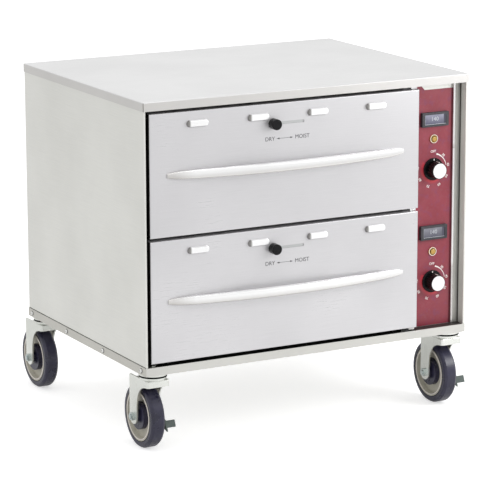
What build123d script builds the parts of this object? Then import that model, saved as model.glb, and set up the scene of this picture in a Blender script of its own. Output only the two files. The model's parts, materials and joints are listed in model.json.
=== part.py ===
"""Free-standing two-drawer warming cabinet on four swivel casters.

Millimetres, +Z up, front towards -Y. The origin is on the floor, half way between the
left axle nuts and the right brake pedal, and half way between the handles and the rear
wheels. The cabinet is sized outwards from the food pans: pan, pan frame, slides, bay
opening, drawer front, case.
"""
import math
import os

from build123d import *

# ---------------------------------------------------------------- driving sizes
# Sheet metal and fits
case_sheet = 1.2
base_sheet = 1.5
frame_sheet = 1.5
seat_gap = 0.3              # between pieces that pass each other or drop in
running_gap = 0.05          # radial clearance of a shaft in its bore

# Food pan, 12 x 20 inch body, 6 inch deep
pan_body_length = 508.0
pan_body_width = 305.0
pan_rim_end = 11.0          # rim beyond the body at each end
pan_rim_side = 10.0
pan_depth = 152.0
pan_wall = 1.2
pan_corner_radius = 50.0
pan_base_radius = 14.0
pan_draft = 4.0             # degrees

# Pan frame and its place in the bay
pan_rim_margin = 5.8        # pan rim to the frame's outer face
pan_drop_gap = 1.5          # pan body to the frame's ledge
pan_top_clearance = 18.0    # pan rest to the top of the bay opening
pan_floor_clearance = 41.5  # pan bottom to the bay floor
pan_frame_sheet = 1.5
pan_front_margin = 6.0      # drawer front to the pan rim
pan_rear_margin = 7.0
pan_frame_arm = 138.0       # arm behind the ring, which carries the slide

# Telescopic slides
slide_thickness = 12.7
slide_length = 500.0
slide_height = 45.0
slide_sheet = 1.5
slide_lip = 2.0
slide_drop = 24.0           # pan rest to the middle of the slide
slide_rear_clearance = 22.0

# Drawer fronts
front_thickness = 22.2
front_side_overlap = 24.5
front_end_overlap = 18.0
front_edge_radius = 2.0
gasket_thickness = 4.0

# Case
drawer_side_gap = 13.0
control_bay_width = 120.0
bottom_gap = 7.0
middle_gap = 6.5
top_gap = 6.0
base_lip_height = 17.0
lid_lip_height = 18.0
case_corner_radius = 2.0
rear_space = 25.0
hem_thickness = 3.6
hem_depth = 15.0
rear_flange = 20.0
frame_return = 20.0
vent_slot_length = 60.0
vent_slot_width = 5.0
vent_slot_pitch = 14.0
vent_slot_rows = 6
back_vent_drop = 70.0       # lid to the top row of slots

# Louvres and vent slider
louvre_count = 4
louvre_pitch = 135.7
louvre_length = 49.0
louvre_height = 15.0
louvre_projection = 6.0
louvre_drop = 25.0
louvre_draft = 18.0         # degrees
louvre_edge_radius = 2.0
vent_slot_drop = 41.0
vent_opening_length = 75.0
vent_opening_height = 6.0
vent_shank_radius = 2.5
vent_end_gap = 1.5
vent_knob_radius = 11.0
vent_knob_length = 18.0
vent_knob_gap = 0.5
shutter_overhang = 9.0
shutter_end = 30.0
shutter_window_height = 9.0
guide_width = 8.0

# Bow handle
handle_length = 541.0
handle_projection = 30.0
handle_drop = 124.5
handle_depth = 12.0
handle_height = 20.5
handle_tip_depth = 5.0
handle_tip_height = 9.0

# Control panel
control_recess = 27.0
overlay_thickness = 0.8
overlay_right_margin = 20.5
overlay_step = 13.5
overlay_step_inset = 16.0
control_inset = 52.0
control_pitch = 239.0
dial_drop = 181.0           # lid lip to the upper dial
lamp_above_dial = 64.0
display_above_dial = 105.5
display_width = 64.5
display_height = 30.0
display_projection = 8.0
display_edge_radius = 1.5
display_body_margin = 3.5
display_body_depth = 30.0
window_width = 51.0
window_height = 20.5
window_thickness = 1.2
window_recess = 0.8
lamp_bezel_radius = 9.0
lamp_bezel_projection = 3.0
lamp_lens_radius = 6.0
lamp_lens_projection = 2.5
lamp_body_radius = 8.0
lamp_body_depth = 24.0
dial_skirt_radius = 23.5
dial_skirt_thickness = 3.5
dial_body_radius = 18.5
dial_length = 26.0
dial_draft = 3.0            # degrees
dial_cap_radius = 15.8
dial_cap_thickness = 1.2
dial_cap_seat = 0.6
dial_flute_count = 18
dial_flute_radius = 1.6
dial_shaft_radius = 3.0
dial_shaft_grip = 14.0
thermostat_radius = 22.0
thermostat_depth = 28.0
thermostat_bush_radius = 6.0
thermostat_bush_projection = 5.0
thermostat_bore_depth = 20.0

# Heating elements
element_radius = 4.0
element_height = 14.0
element_front_inset = 110.0
element_run_spacing = 170.0
element_left_inset = 30.0
element_terminal = 18.0
clip_inset = 60.0
clip_width = 20.0

# Fasteners and cable gland
screw_head_radius = 4.2
screw_head_height = 3.2
screw_dome_radius = 2.4
screw_shank_radius = 2.0
lip_screw_count = 4
lip_screw_inset = 21.5
back_screw_count = 4
back_screw_inset = 60.0
gland_inset = 62.0
gland_height = 62.0
gland_flange_radius = 14.0
gland_flange_thickness = 6.0
gland_dome_radius = 11.5
gland_dome_length = 11.0
gland_thread_radius = 9.5
gland_bore_radius = 5.5
gland_locknut_thickness = 4.0

# Casters
caster_height = 164.5       # floor to the cabinet's underside
caster_inset = 30.0
caster_trail = 40.0
wheel_radius = 66.5
wheel_width = 30.0
tread_flat = 19.0
tread_shoulder = 2.7
tread_side_drop = 5.5
core_radius = 53.4
core_rim_thickness = 5.0
core_web_thickness = 11.0
hub_radius = 28.8
hub_proud = 1.5
boss_radius = 11.0
axle_radius = 4.76
axle_hex_flats = 15.0
axle_head_thickness = 6.0
axle_nut_thickness = 6.0
axle_stub = 2.0
fork_gap = 45.0
fork_sheet = 3.0
fork_leg_half_width = 16.0
fork_front = 25.0
fork_lip_height = 14.0
fork_bend_radius = 2.5
fork_corner_radius = 6.0
crown_sheet = 4.0
lower_race_radius = 27.0
lower_race_height = 4.7
upper_race_radius = 29.0
upper_race_height = 7.0
upper_race_step = 4.0
stem_radius = 6.3
stem_head_radius = 10.0
stem_head_thickness = 3.0
stem_nut_flats = 19.0
stem_nut_thickness = 9.0
stem_thread_stub = 2.0
caster_pad_thickness = 2.0
pedal_sheet = 3.0
pedal_pivot_radius = 13.0
pedal_reach = 48.0          # axle to the pedal's lower tip
pedal_tip_drop = 28.0
pedal_top_reach = 39.0
pedal_top_drop = 7.0
pedal_tab_width = 19.0
pedal_tab_length = 15.0
pedal_tab_radius = 4.0

# ---------------------------------------------------------------- derived sizes
pan_rim_length = pan_body_length + 2 * pan_rim_end
pan_rim_width = pan_body_width + 2 * pan_rim_side
pan_frame_width = pan_rim_length + 2 * pan_rim_margin
opening_width = pan_frame_width + 2 * slide_thickness
opening_height = pan_top_clearance + pan_depth + pan_floor_clearance
drawer_front_width = opening_width + 2 * front_side_overlap
drawer_front_height = opening_height + 2 * front_end_overlap
cabinet_width = drawer_side_gap + drawer_front_width + control_bay_width
frame_setback = front_thickness + seat_gap + gasket_thickness
bay_depth = slide_length + slide_rear_clearance
cabinet_depth = frame_setback + frame_sheet + bay_depth + rear_space
drawer_stack = bottom_gap + 2 * drawer_front_height + middle_gap + top_gap
cabinet_height = base_lip_height + drawer_stack + lid_lip_height

rear_overhang = caster_trail + wheel_radius - caster_inset
front_y = -(cabinet_depth + rear_overhang - handle_projection) / 2
back_y = front_y + cabinet_depth
middle_y = front_y + cabinet_depth / 2
fork_half = fork_gap / 2 + fork_sheet
pedal_overhang = fork_half + seat_gap + pedal_sheet + pedal_tab_width - caster_inset
nut_overhang = fork_half + axle_nut_thickness + axle_stub - caster_inset
left_x = -(cabinet_width + pedal_overhang - nut_overhang) / 2
right_x = left_x + cabinet_width
middle_x = (left_x + right_x) / 2

base_z = caster_height
floor_z = base_z + base_sheet
lid_top_z = base_z + cabinet_height
lid_inside_z = lid_top_z - case_sheet
lid_lip_z = lid_top_z - lid_lip_height

drawer_left = left_x + drawer_side_gap
drawer_right = drawer_left + drawer_front_width
drawer_middle = (drawer_left + drawer_right) / 2
opening_left = drawer_left + front_side_overlap
opening_right = opening_left + opening_width
lower_front_z = base_z + base_lip_height + bottom_gap
upper_front_z = lower_front_z + drawer_front_height + middle_gap
drawer_levels = {"lower": lower_front_z, "upper": upper_front_z}

frame_y = front_y + frame_setback
bay_front_y = frame_y + frame_sheet
bay_back_y = bay_front_y + bay_depth
inner_front_y = front_y + front_thickness

wall_outer = cabinet_width / 2 - base_sheet - seat_gap
wall_inner = wall_outer - case_sheet
wall_left_x = middle_x - wall_inner
wall_right_x = middle_x + wall_inner
panel_front_y = front_y + base_sheet + seat_gap
back_face_y = back_y - base_sheet - seat_gap
panel_back_y = back_face_y - case_sheet
panel_top_z = lid_inside_z - case_corner_radius + case_sheet
overlay_y = front_y + control_recess
control_y = overlay_y + overlay_thickness
control_x = drawer_right + control_inset
upper_dial_z = lid_lip_z - dial_drop
dial_levels = {"lower": upper_dial_z - control_pitch, "upper": upper_dial_z}

axle_z = wheel_radius
upper_race_z = base_z - upper_race_height
crown_top_z = upper_race_z - seat_gap - lower_race_height
crown_bottom_z = crown_top_z - crown_sheet
caster_front_y = front_y + caster_inset
caster_back_y = back_y - caster_inset
caster_points = {
    "front_left": (left_x + caster_inset, caster_front_y),
    "front_right": (right_x - caster_inset, caster_front_y),
    "back_left": (left_x + caster_inset, caster_back_y),
    "back_right": (right_x - caster_inset, caster_back_y),
}
braked_casters = ("front_left", "front_right")
pad_top_z = floor_z + caster_pad_thickness
nut_top_z = pad_top_z + stem_nut_thickness
stem_top_z = nut_top_z + stem_thread_stub
pad_half = caster_inset - base_sheet - hem_thickness - 2 * seat_gap

lip_screw_pitch = (cabinet_depth - 2 * lip_screw_inset) / (lip_screw_count - 1)
lip_screw_points = [
    (front_y + lip_screw_inset + index * lip_screw_pitch, base_z + base_lip_height / 2)
    for index in range(lip_screw_count)
]
back_screw_x = wall_outer - rear_flange / 2
back_screw_pitch = (lid_lip_z - base_z - 2 * back_screw_inset) / (back_screw_count - 1)
back_screw_points = [
    (middle_x + side * back_screw_x, base_z + back_screw_inset + index * back_screw_pitch)
    for side in (-1, 1)
    for index in range(back_screw_count)
]
gland_point = (right_x - gland_inset, base_z + gland_height)


# ---------------------------------------------------------------- helpers
def front_plane(y):
    """Upright plane at depth y that faces the front; its axes are X and Z."""
    return Plane.XZ.offset(-y)


def side_plane(x):
    """Upright plane at x that faces the right; its axes are Y and Z."""
    return Plane.YZ.offset(x)


def span(x0, x1, y0, y1, mode=Mode.ADD):
    """Rectangle between two corners of the current sketch."""
    with Locations(((x0 + x1) / 2, (y0 + y1) / 2)):
        Rectangle(abs(x1 - x0), abs(y1 - y0), mode=mode)


def block(x0, x1, y0, y1, z0, z1, mode=Mode.ADD):
    """Block between two corners of the current part."""
    with Locations(((x0 + x1) / 2, (y0 + y1) / 2, (z0 + z1) / 2)):
        Box(abs(x1 - x0), abs(y1 - y0), abs(z1 - z0), mode=mode)


def save(piece, name):
    """Name a finished piece and write it to the parts folder."""
    piece.label = name
    export_step(piece, f"parts/{name}.step")


os.makedirs("parts", exist_ok=True)

# ---------------------------------------------------------------- case
with BuildPart() as top_cover:
    with BuildSketch(Plane.XY.offset(lid_lip_z)):
        with Locations((middle_x, middle_y)):
            RectangleRounded(cabinet_width, cabinet_depth, case_corner_radius)
    extrude(amount=lid_lip_height)
    fillet(top_cover.faces().sort_by(Axis.Z)[-1].edges(), case_corner_radius)
    offset(amount=-case_sheet, openings=top_cover.faces().sort_by(Axis.Z)[0])
save(top_cover.part, "top_cover")

with BuildPart() as base_pan:
    with BuildSketch(Plane.XY.offset(base_z)):
        with Locations((middle_x, middle_y)):
            RectangleRounded(cabinet_width, cabinet_depth, case_corner_radius)
    extrude(amount=base_lip_height)
    offset(amount=-base_sheet, openings=base_pan.faces().sort_by(Axis.Z)[-1])
    with BuildSketch(Plane.XY.offset(floor_z)):
        with Locations(*caster_points.values()):
            Rectangle(2 * pad_half, 2 * pad_half)
    extrude(amount=caster_pad_thickness)
    with BuildSketch(Plane.XY.offset(base_z)):
        with Locations(*caster_points.values()):
            Circle(stem_radius + running_gap)
        with Locations((drawer_right + control_bay_width / 2, middle_y)):
            with GridLocations(0, vent_slot_pitch, 1, vent_slot_rows):
                SlotOverall(vent_slot_length, vent_slot_width)
    extrude(amount=base_sheet + caster_pad_thickness, mode=Mode.SUBTRACT)
    with BuildSketch(side_plane(left_x)):
        with Locations(*lip_screw_points):
            Circle(screw_shank_radius + running_gap)
    extrude(amount=cabinet_width, mode=Mode.SUBTRACT)
save(base_pan.part, "base_pan")


def make_side_panel(side):
    """Side sheet with a hemmed front edge and a flange for the back panel."""
    outer_x = middle_x + side * wall_outer
    inner_x = middle_x + side * wall_inner
    with BuildPart() as panel:
        with BuildSketch(Plane.XY.offset(floor_z)):
            span(outer_x, inner_x, panel_front_y, panel_back_y)
            hem_x = outer_x - side * hem_thickness
            span(outer_x, hem_x, panel_front_y, panel_front_y + hem_depth)
            flange_x = outer_x - side * rear_flange
            span(outer_x, flange_x, panel_back_y - case_sheet, panel_back_y)
        extrude(amount=panel_top_z - floor_z)
        with BuildSketch(side_plane(inner_x)):
            with Locations(*lip_screw_points):
                Circle(screw_shank_radius + running_gap)
        extrude(amount=case_sheet, both=True, mode=Mode.SUBTRACT)
        with BuildSketch(front_plane(panel_back_y)):
            with Locations(*back_screw_points):
                Circle(screw_shank_radius + running_gap)
        extrude(amount=case_sheet, mode=Mode.SUBTRACT)
    return panel.part


save(make_side_panel(-1), "left_side_panel")
save(make_side_panel(1), "right_side_panel")

with BuildPart() as back_panel:
    with BuildSketch(front_plane(panel_back_y + case_sheet)):
        span(middle_x - wall_outer, middle_x + wall_outer, floor_z, panel_top_z)
        with Locations(*back_screw_points):
            Circle(screw_shank_radius + running_gap, mode=Mode.SUBTRACT)
        with Locations(gland_point):
            Circle(gland_thread_radius + seat_gap, mode=Mode.SUBTRACT)
        with Locations((control_x, lid_lip_z - back_vent_drop)):
            with GridLocations(0, vent_slot_pitch, 1, vent_slot_rows):
                SlotOverall(vent_slot_length, vent_slot_width, mode=Mode.SUBTRACT)
    extrude(amount=case_sheet)
save(back_panel.part, "back_panel")


# ---------------------------------------------------------------- bay frame and liners
def opening_span(front_z, margin=0.0, mode=Mode.SUBTRACT):
    """The bay opening behind one drawer front, in a front-facing sketch."""
    bottom = front_z + front_end_overlap
    top = bottom + opening_height
    span(opening_left - margin, opening_right + margin, bottom - margin, top + margin, mode)


def clear_casters():
    """Notch the foot of an upright sheet where the caster pads and nuts stand."""
    for x, y in caster_points.values():
        half = pad_half + seat_gap
        block(x - half, x + half, y - half, y + half, floor_z, stem_top_z + seat_gap, Mode.SUBTRACT)


with BuildPart() as front_frame:
    with BuildSketch(front_plane(bay_front_y)):
        span(wall_left_x, drawer_right, floor_z, lid_inside_z)
        for level in drawer_levels.values():
            opening_span(level)
    extrude(amount=frame_sheet)
    with BuildSketch(front_plane(bay_front_y)):
        span(wall_left_x, drawer_right, floor_z, lid_inside_z)
        span(
            wall_left_x + frame_sheet,
            drawer_right - frame_sheet,
            floor_z + frame_sheet,
            lid_inside_z - frame_sheet,
            mode=Mode.SUBTRACT,
        )
    extrude(amount=-frame_return)
    clear_casters()
save(front_frame.part, "front_frame")

with BuildPart() as front_gasket:
    with BuildSketch(front_plane(frame_y)):
        span(wall_left_x, opening_right, floor_z, lid_inside_z)
        for level in drawer_levels.values():
            opening_span(level, margin=seat_gap)
    extrude(amount=gasket_thickness)
    clear_casters()
save(front_gasket.part, "front_gasket")

element_y = bay_front_y + element_front_inset
element_back_y = element_y + element_run_spacing

with BuildPart() as bay_liners:
    for level in drawer_levels.values():
        with BuildSketch(front_plane(bay_front_y)):
            opening_span(level, margin=case_sheet, mode=Mode.ADD)
        extrude(amount=-(bay_depth + case_sheet))
    for level in drawer_levels.values():
        with BuildSketch(front_plane(bay_front_y)):
            opening_span(level, mode=Mode.ADD)
        extrude(amount=-bay_depth, mode=Mode.SUBTRACT)
        element_z = level + front_end_overlap + element_height
        with BuildSketch(side_plane(opening_right)):
            with Locations((element_y, element_z), (element_back_y, element_z)):
                Circle(element_radius + seat_gap / 2)
        extrude(amount=case_sheet, mode=Mode.SUBTRACT)
save(bay_liners.part, "bay_liners")

with BuildPart() as heating_elements:
    for level in drawer_levels.values():
        bay_floor_z = level + front_end_overlap
        element_z = bay_floor_z + element_height
        bend_x = opening_left + element_left_inset + element_run_spacing / 2
        terminal_x = opening_right + case_sheet + element_terminal
        with BuildLine(Plane.XY.offset(element_z)) as element_path:
            Line((terminal_x, element_y), (bend_x, element_y))
            ThreePointArc(
                (bend_x, element_y),
                (bend_x - element_run_spacing / 2, (element_y + element_back_y) / 2),
                (bend_x, element_back_y),
            )
            Line((bend_x, element_back_y), (terminal_x, element_back_y))
        start = element_path.line @ 0
        heading = element_path.line % 0
        with BuildSketch(Plane(origin=start, z_dir=heading)):
            Circle(element_radius)
        sweep()
    clip_holes = element_radius + seat_gap / 2
    for level in drawer_levels.values():
        bay_floor_z = level + front_end_overlap
        element_z = bay_floor_z + element_height
        for clip_x in (bend_x, opening_right - clip_inset):
            with BuildSketch(side_plane(clip_x)):
                for run_y in (element_y, element_back_y):
                    clip_top = element_z + clip_width / 2
                    span(run_y - clip_width / 2, run_y + clip_width / 2, bay_floor_z, clip_top)
                    with Locations((run_y, element_z)):
                        Circle(clip_holes, mode=Mode.SUBTRACT)
            extrude(amount=case_sheet)
save(heating_elements.part, "heating_elements")


# ---------------------------------------------------------------- slides
def channel(x_web, x_edge, half_height, wall, lip=0.0):
    """C section in a front-facing sketch: web at x_web, flanges out to x_edge."""
    side = 1 if x_edge > x_web else -1
    span(x_web, x_web + side * wall, -half_height, half_height)
    for end in (-1, 1):
        span(x_web, x_edge, end * half_height, end * (half_height - wall))
        if lip:
            span(x_edge - side * wall, x_edge, end * half_height, end * (half_height - wall - lip))


outer_half = slide_height / 2
middle_half = outer_half - slide_sheet - seat_gap
inner_half = middle_half - slide_sheet - seat_gap
outer_reach = slide_thickness - slide_sheet - seat_gap
middle_start = slide_sheet + seat_gap
middle_reach = outer_reach - slide_sheet - seat_gap
inner_reach = middle_start + slide_sheet + seat_gap


def slide_z(front_z):
    """Height of a slide's middle behind one drawer front."""
    return front_z + front_end_overlap + opening_height - pan_top_clearance - slide_drop


def make_slide_pair(front_z, member):
    """Left and right member of one drawer's slides: outer, middle or inner."""
    with BuildPart() as pair:
        middle = Vector(0, bay_front_y, slide_z(front_z))
        with BuildSketch(Plane(origin=middle, x_dir=(1, 0, 0), z_dir=(0, -1, 0))):
            for wall_x, side in ((opening_left, 1), (opening_right, -1)):
                if member == "outer":
                    channel(wall_x, wall_x + side * outer_reach, outer_half, slide_sheet, slide_lip)
                elif member == "middle":
                    start = wall_x + side * middle_start
                    channel(start, wall_x + side * middle_reach, middle_half, slide_sheet)
                else:
                    start = wall_x + side * slide_thickness
                    channel(start, wall_x + side * inner_reach, inner_half, slide_sheet)
        extrude(amount=-slide_length)
    return pair.part


fixed_rails = Compound(children=[make_slide_pair(level, "outer") for level in drawer_levels.values()])
save(fixed_rails, "fixed_rails")
for name, level in drawer_levels.items():
    save(make_slide_pair(level, "middle"), f"{name}_middle_rails")
    save(make_slide_pair(level, "inner"), f"{name}_drawer_rails")

# ---------------------------------------------------------------- drawers
louvre_span = (louvre_count - 1) * louvre_pitch
louvre_points = [
    drawer_middle - louvre_span / 2 + index * louvre_pitch for index in range(louvre_count)
]
shutter_y = front_y + case_sheet + seat_gap
vent_travel = vent_opening_length - 2 * vent_shank_radius - 2 * vent_end_gap
vent_knob_x = drawer_middle - vent_travel / 2


def vent_levels(front_z):
    """Louvre, slot, shutter bottom and shutter top heights for one drawer front."""
    front_top = front_z + drawer_front_height
    louvre_z = front_top - louvre_drop
    slot_z = front_top - vent_slot_drop
    return louvre_z, slot_z, slot_z - shutter_overhang, louvre_z + shutter_overhang


def make_drawer_front(front_z):
    """Folded front skin with louvres, a vent slot and guides for the shutter."""
    louvre_z, slot_z, shutter_bottom, shutter_top = vent_levels(front_z)
    front_middle = (drawer_middle, front_z + drawer_front_height / 2)
    louvre_centres = [(x, louvre_z) for x in louvre_points]
    hood_inside = louvre_projection - case_sheet
    with BuildPart() as skin:
        with BuildSketch(front_plane(inner_front_y)):
            with Locations(front_middle):
                Rectangle(drawer_front_width, drawer_front_height)
        extrude(amount=front_thickness)
        fillet(skin.faces().sort_by(Axis.Y)[0].edges(), front_edge_radius)
        offset(amount=-case_sheet, openings=skin.faces().sort_by(Axis.Y)[-1])
        with BuildSketch(front_plane(front_y)):
            with Locations(*louvre_centres):
                SlotOverall(louvre_length, louvre_height)
        extrude(amount=louvre_projection, taper=louvre_draft)
        hood_faces = skin.faces().filter_by(Axis.Y).group_by(Axis.Y)[0]
        fillet(hood_faces.edges(), louvre_edge_radius)
        with BuildSketch(front_plane(front_y)):
            with Locations(*louvre_centres):
                SlotOverall(louvre_length - 2 * case_sheet, louvre_height - 2 * case_sheet)
        extrude(amount=hood_inside, taper=louvre_draft, mode=Mode.SUBTRACT)
        with BuildSketch(front_plane(front_y + case_sheet)):
            mouth_depth = louvre_height / 2
            mouth_half = (louvre_length - louvre_height) / 2
            for x in louvre_points:
                span(x - mouth_half, x + mouth_half, louvre_z - mouth_depth, louvre_z)
            with Locations((drawer_middle, slot_z)):
                SlotOverall(vent_opening_length, vent_opening_height)
        extrude(amount=case_sheet, mode=Mode.SUBTRACT)
        with BuildSketch(front_plane(front_y)):
            for x in louvre_points:
                span(x - mouth_half, x + mouth_half, louvre_z - mouth_depth, louvre_z)
        extrude(amount=hood_inside - louvre_edge_radius, mode=Mode.SUBTRACT)
        guide_left = drawer_left + case_sheet
        guide_right = drawer_right - case_sheet
        guide_foot_y = shutter_y + case_sheet + seat_gap
        for edge_z, side in ((shutter_bottom, -1), (shutter_top, 1)):
            foot_z = edge_z + side * seat_gap
            outer_z = foot_z + side * guide_width
            lip_z = edge_z - side * case_sheet * 2
            block(guide_left, guide_right, front_y + case_sheet, guide_foot_y, foot_z, outer_z)
            block(guide_left, guide_right, guide_foot_y, guide_foot_y + case_sheet, lip_z, outer_z)
    return skin.part


def make_front_liner(front_z):
    """Inner panel that closes the back of a drawer front, with vent slots."""
    louvre_z = vent_levels(front_z)[0]
    inset = case_sheet + seat_gap / 2
    with BuildPart() as liner:
        with BuildSketch(front_plane(inner_front_y)):
            span(
                drawer_left + inset,
                drawer_right - inset,
                front_z + inset,
                front_z + drawer_front_height - inset,
            )
            with Locations(*[(x, louvre_z) for x in louvre_points]):
                SlotOverall(louvre_length, shutter_window_height, mode=Mode.SUBTRACT)
        extrude(amount=case_sheet)
    return liner.part


def make_vent_shutter(front_z):
    """Sliding strip behind the louvres, with a window for each of them."""
    louvre_z, _, shutter_bottom, shutter_top = vent_levels(front_z)
    with BuildPart() as shutter:
        with BuildSketch(front_plane(shutter_y + case_sheet)):
            left = louvre_points[0] - louvre_length / 2 - shutter_end
            right = drawer_right - case_sheet - 2 * seat_gap - vent_travel
            span(left, right, shutter_bottom, shutter_top)
            with Locations(*[(x, louvre_z) for x in louvre_points]):
                SlotOverall(louvre_length, shutter_window_height, mode=Mode.SUBTRACT)
        extrude(amount=case_sheet)
    return shutter.part


def make_vent_knob(front_z):
    """Round knob on a shank that reaches through the slot to the shutter."""
    slot_z = vent_levels(front_z)[1]
    with BuildPart() as knob:
        with BuildSketch(front_plane(shutter_y)):
            with Locations((vent_knob_x, slot_z)):
                Circle(vent_shank_radius)
        extrude(amount=shutter_y - front_y + vent_knob_gap)
        with BuildSketch(front_plane(front_y - vent_knob_gap)):
            with Locations((vent_knob_x, slot_z)):
                Circle(vent_knob_radius)
        extrude(amount=vent_knob_length - vent_knob_gap)
        face_edges = knob.faces().sort_by(Axis.Y)[0].edges()
        fillet(face_edges, vent_knob_radius / 5)
    return knob.part


def make_handle(front_z):
    """Bowed bar that tapers to both tips, where it lands on the drawer front."""
    handle_z = front_z + drawer_front_height - handle_drop
    sagitta = handle_projection - handle_depth / 2
    half_length = handle_length / 2
    bow_radius = (half_length**2 + sagitta**2) / (2 * sagitta)
    centre_y = front_y - sagitta + bow_radius
    half_angle = math.asin(half_length / bow_radius)
    stations = (-1.0, -0.93, -0.75, -0.4, 0.0, 0.4, 0.75, 0.93, 1.0)
    with BuildPart() as bar:
        for station in stations:
            fullness = math.sqrt(max(0.0, 1 - abs(station) ** 4))
            depth = handle_tip_depth + (handle_depth - handle_tip_depth) * fullness
            height = handle_tip_height + (handle_height - handle_tip_height) * fullness
            angle = station * half_angle
            outward = Vector(math.sin(angle), -math.cos(angle), 0)
            along = Vector(math.cos(angle), math.sin(angle), 0)
            centre = Vector(drawer_middle, centre_y, handle_z) + outward * bow_radius
            with BuildSketch(Plane(origin=centre, x_dir=outward, z_dir=along)):
                RectangleRounded(depth, height, depth * 0.45)
        loft()
        split(bisect_by=front_plane(front_y), keep=Keep.TOP)
    return bar.part


def make_pan_frame(front_z):
    """Ring that the pan hangs in, with skirts and arms that carry the slides."""
    rest_z = slide_z(front_z) + slide_drop
    left = opening_left + slide_thickness
    right = opening_right - slide_thickness
    ring_depth = pan_front_margin + pan_rim_width + pan_rear_margin
    ring_back_y = inner_front_y + ring_depth
    skirt_bottom = slide_z(front_z) - inner_half
    pan_y = inner_front_y + pan_front_margin + pan_rim_width / 2
    with BuildPart() as ring:
        with BuildSketch(Plane.XY.offset(rest_z - pan_frame_sheet)):
            span(left, right, inner_front_y, ring_back_y)
            with Locations((drawer_middle, pan_y)):
                RectangleRounded(
                    pan_body_length + 2 * pan_drop_gap,
                    pan_body_width + 2 * pan_drop_gap,
                    pan_corner_radius,
                    mode=Mode.SUBTRACT,
                )
        extrude(amount=pan_frame_sheet)
        with BuildSketch(Plane.XY.offset(skirt_bottom)):
            wall = pan_frame_sheet
            span(left, right, inner_front_y, ring_back_y)
            span(left + wall, right - wall, inner_front_y + wall, ring_back_y - wall, Mode.SUBTRACT)
            span(left, left + wall, ring_back_y, ring_back_y + pan_frame_arm)
            span(right - wall, right, ring_back_y, ring_back_y + pan_frame_arm)
        extrude(amount=rest_z - skirt_bottom)
    return ring.part


def pan_shape(rest_z, shrink):
    """Tapered body with a rounded base; shrink moves all its walls inwards."""
    pan_y = inner_front_y + pan_front_margin + pan_rim_width / 2
    length = pan_body_length - 2 * shrink
    width = pan_body_width - 2 * shrink
    with BuildPart() as body:
        with BuildSketch(Plane.XY.offset(rest_z + pan_wall)):
            with Locations((drawer_middle, pan_y)):
                RectangleRounded(length, width, pan_corner_radius - shrink)
        extrude(amount=shrink - pan_depth, taper=pan_draft)
        fillet(body.faces().sort_by(Axis.Z)[0].edges(), pan_base_radius - shrink)
    return body.part


def make_food_pan(front_z):
    """Drawn pan with tapered sides and a flat rim that hangs on the pan frame."""
    rest_z = slide_z(front_z) + slide_drop
    pan_y = inner_front_y + pan_front_margin + pan_rim_width / 2
    with BuildPart() as pan:
        with BuildSketch(Plane.XY.offset(rest_z)):
            with Locations((drawer_middle, pan_y)):
                rim_corner = pan_corner_radius + pan_rim_end
                RectangleRounded(pan_rim_length, pan_rim_width, rim_corner)
        extrude(amount=pan_wall)
        add(pan_shape(rest_z, 0))
        add(pan_shape(rest_z, pan_wall), mode=Mode.SUBTRACT)
    return pan.part


for name, level in drawer_levels.items():
    save(make_drawer_front(level), f"{name}_drawer_front")
    save(make_front_liner(level), f"{name}_front_liner")
    save(make_vent_shutter(level), f"{name}_vent_shutter")
    save(make_vent_knob(level), f"{name}_vent_knob")
    save(make_handle(level), f"{name}_handle")
    save(make_pan_frame(level), f"{name}_pan_frame")
    save(make_food_pan(level), f"{name}_food_pan")

# ---------------------------------------------------------------- control panel
dial_points = [(control_x, level) for level in dial_levels.values()]
lamp_points = [(x, z + lamp_above_dial) for x, z in dial_points]
display_points = [(x, z + display_above_dial) for x, z in dial_points]
display_body = (display_width - 2 * display_body_margin, display_height - 2 * display_body_margin)


def cut_control_holes():
    """Openings for displays, lamps and thermostats in a front-facing sketch."""
    with Locations(*display_points):
        Rectangle(
            display_body[0] + 2 * seat_gap, display_body[1] + 2 * seat_gap, mode=Mode.SUBTRACT
        )
    with Locations(*lamp_points):
        Circle(lamp_body_radius + running_gap, mode=Mode.SUBTRACT)
    with Locations(*dial_points):
        Circle(thermostat_bush_radius + running_gap, mode=Mode.SUBTRACT)


with BuildPart() as control_panel:
    with BuildSketch(front_plane(control_y + case_sheet)):
        span(drawer_right, wall_right_x, floor_z, lid_inside_z)
        cut_control_holes()
    extrude(amount=case_sheet)
    with BuildSketch(Plane.XY.offset(floor_z)):
        flange_back_y = control_y + frame_return
        span(drawer_right, drawer_right + case_sheet, control_y, flange_back_y)
        span(wall_right_x - case_sheet, wall_right_x, control_y, flange_back_y)
        rib_x = right_x - overlay_right_margin
        span(rib_x, rib_x + 2 * case_sheet, control_y - 2 * case_sheet, control_y)
    extrude(amount=lid_inside_z - floor_z)
    clear_casters()
save(control_panel.part, "control_panel")

with BuildPart() as control_overlay:
    overlay_right = right_x - overlay_right_margin
    overlay_top = lid_lip_z - overlay_step
    step_x = drawer_right + overlay_step_inset
    with BuildSketch(front_plane(control_y)):
        with BuildLine():
            Polyline(
                (drawer_right, base_z + base_lip_height),
                (overlay_right, base_z + base_lip_height),
                (overlay_right, overlay_top),
                (step_x + overlay_step, overlay_top),
                (step_x, lid_lip_z),
                (drawer_right, lid_lip_z),
                close=True,
            )
        make_face()
        cut_control_holes()
    extrude(amount=overlay_thickness)
save(control_overlay.part, "control_overlay")

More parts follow.
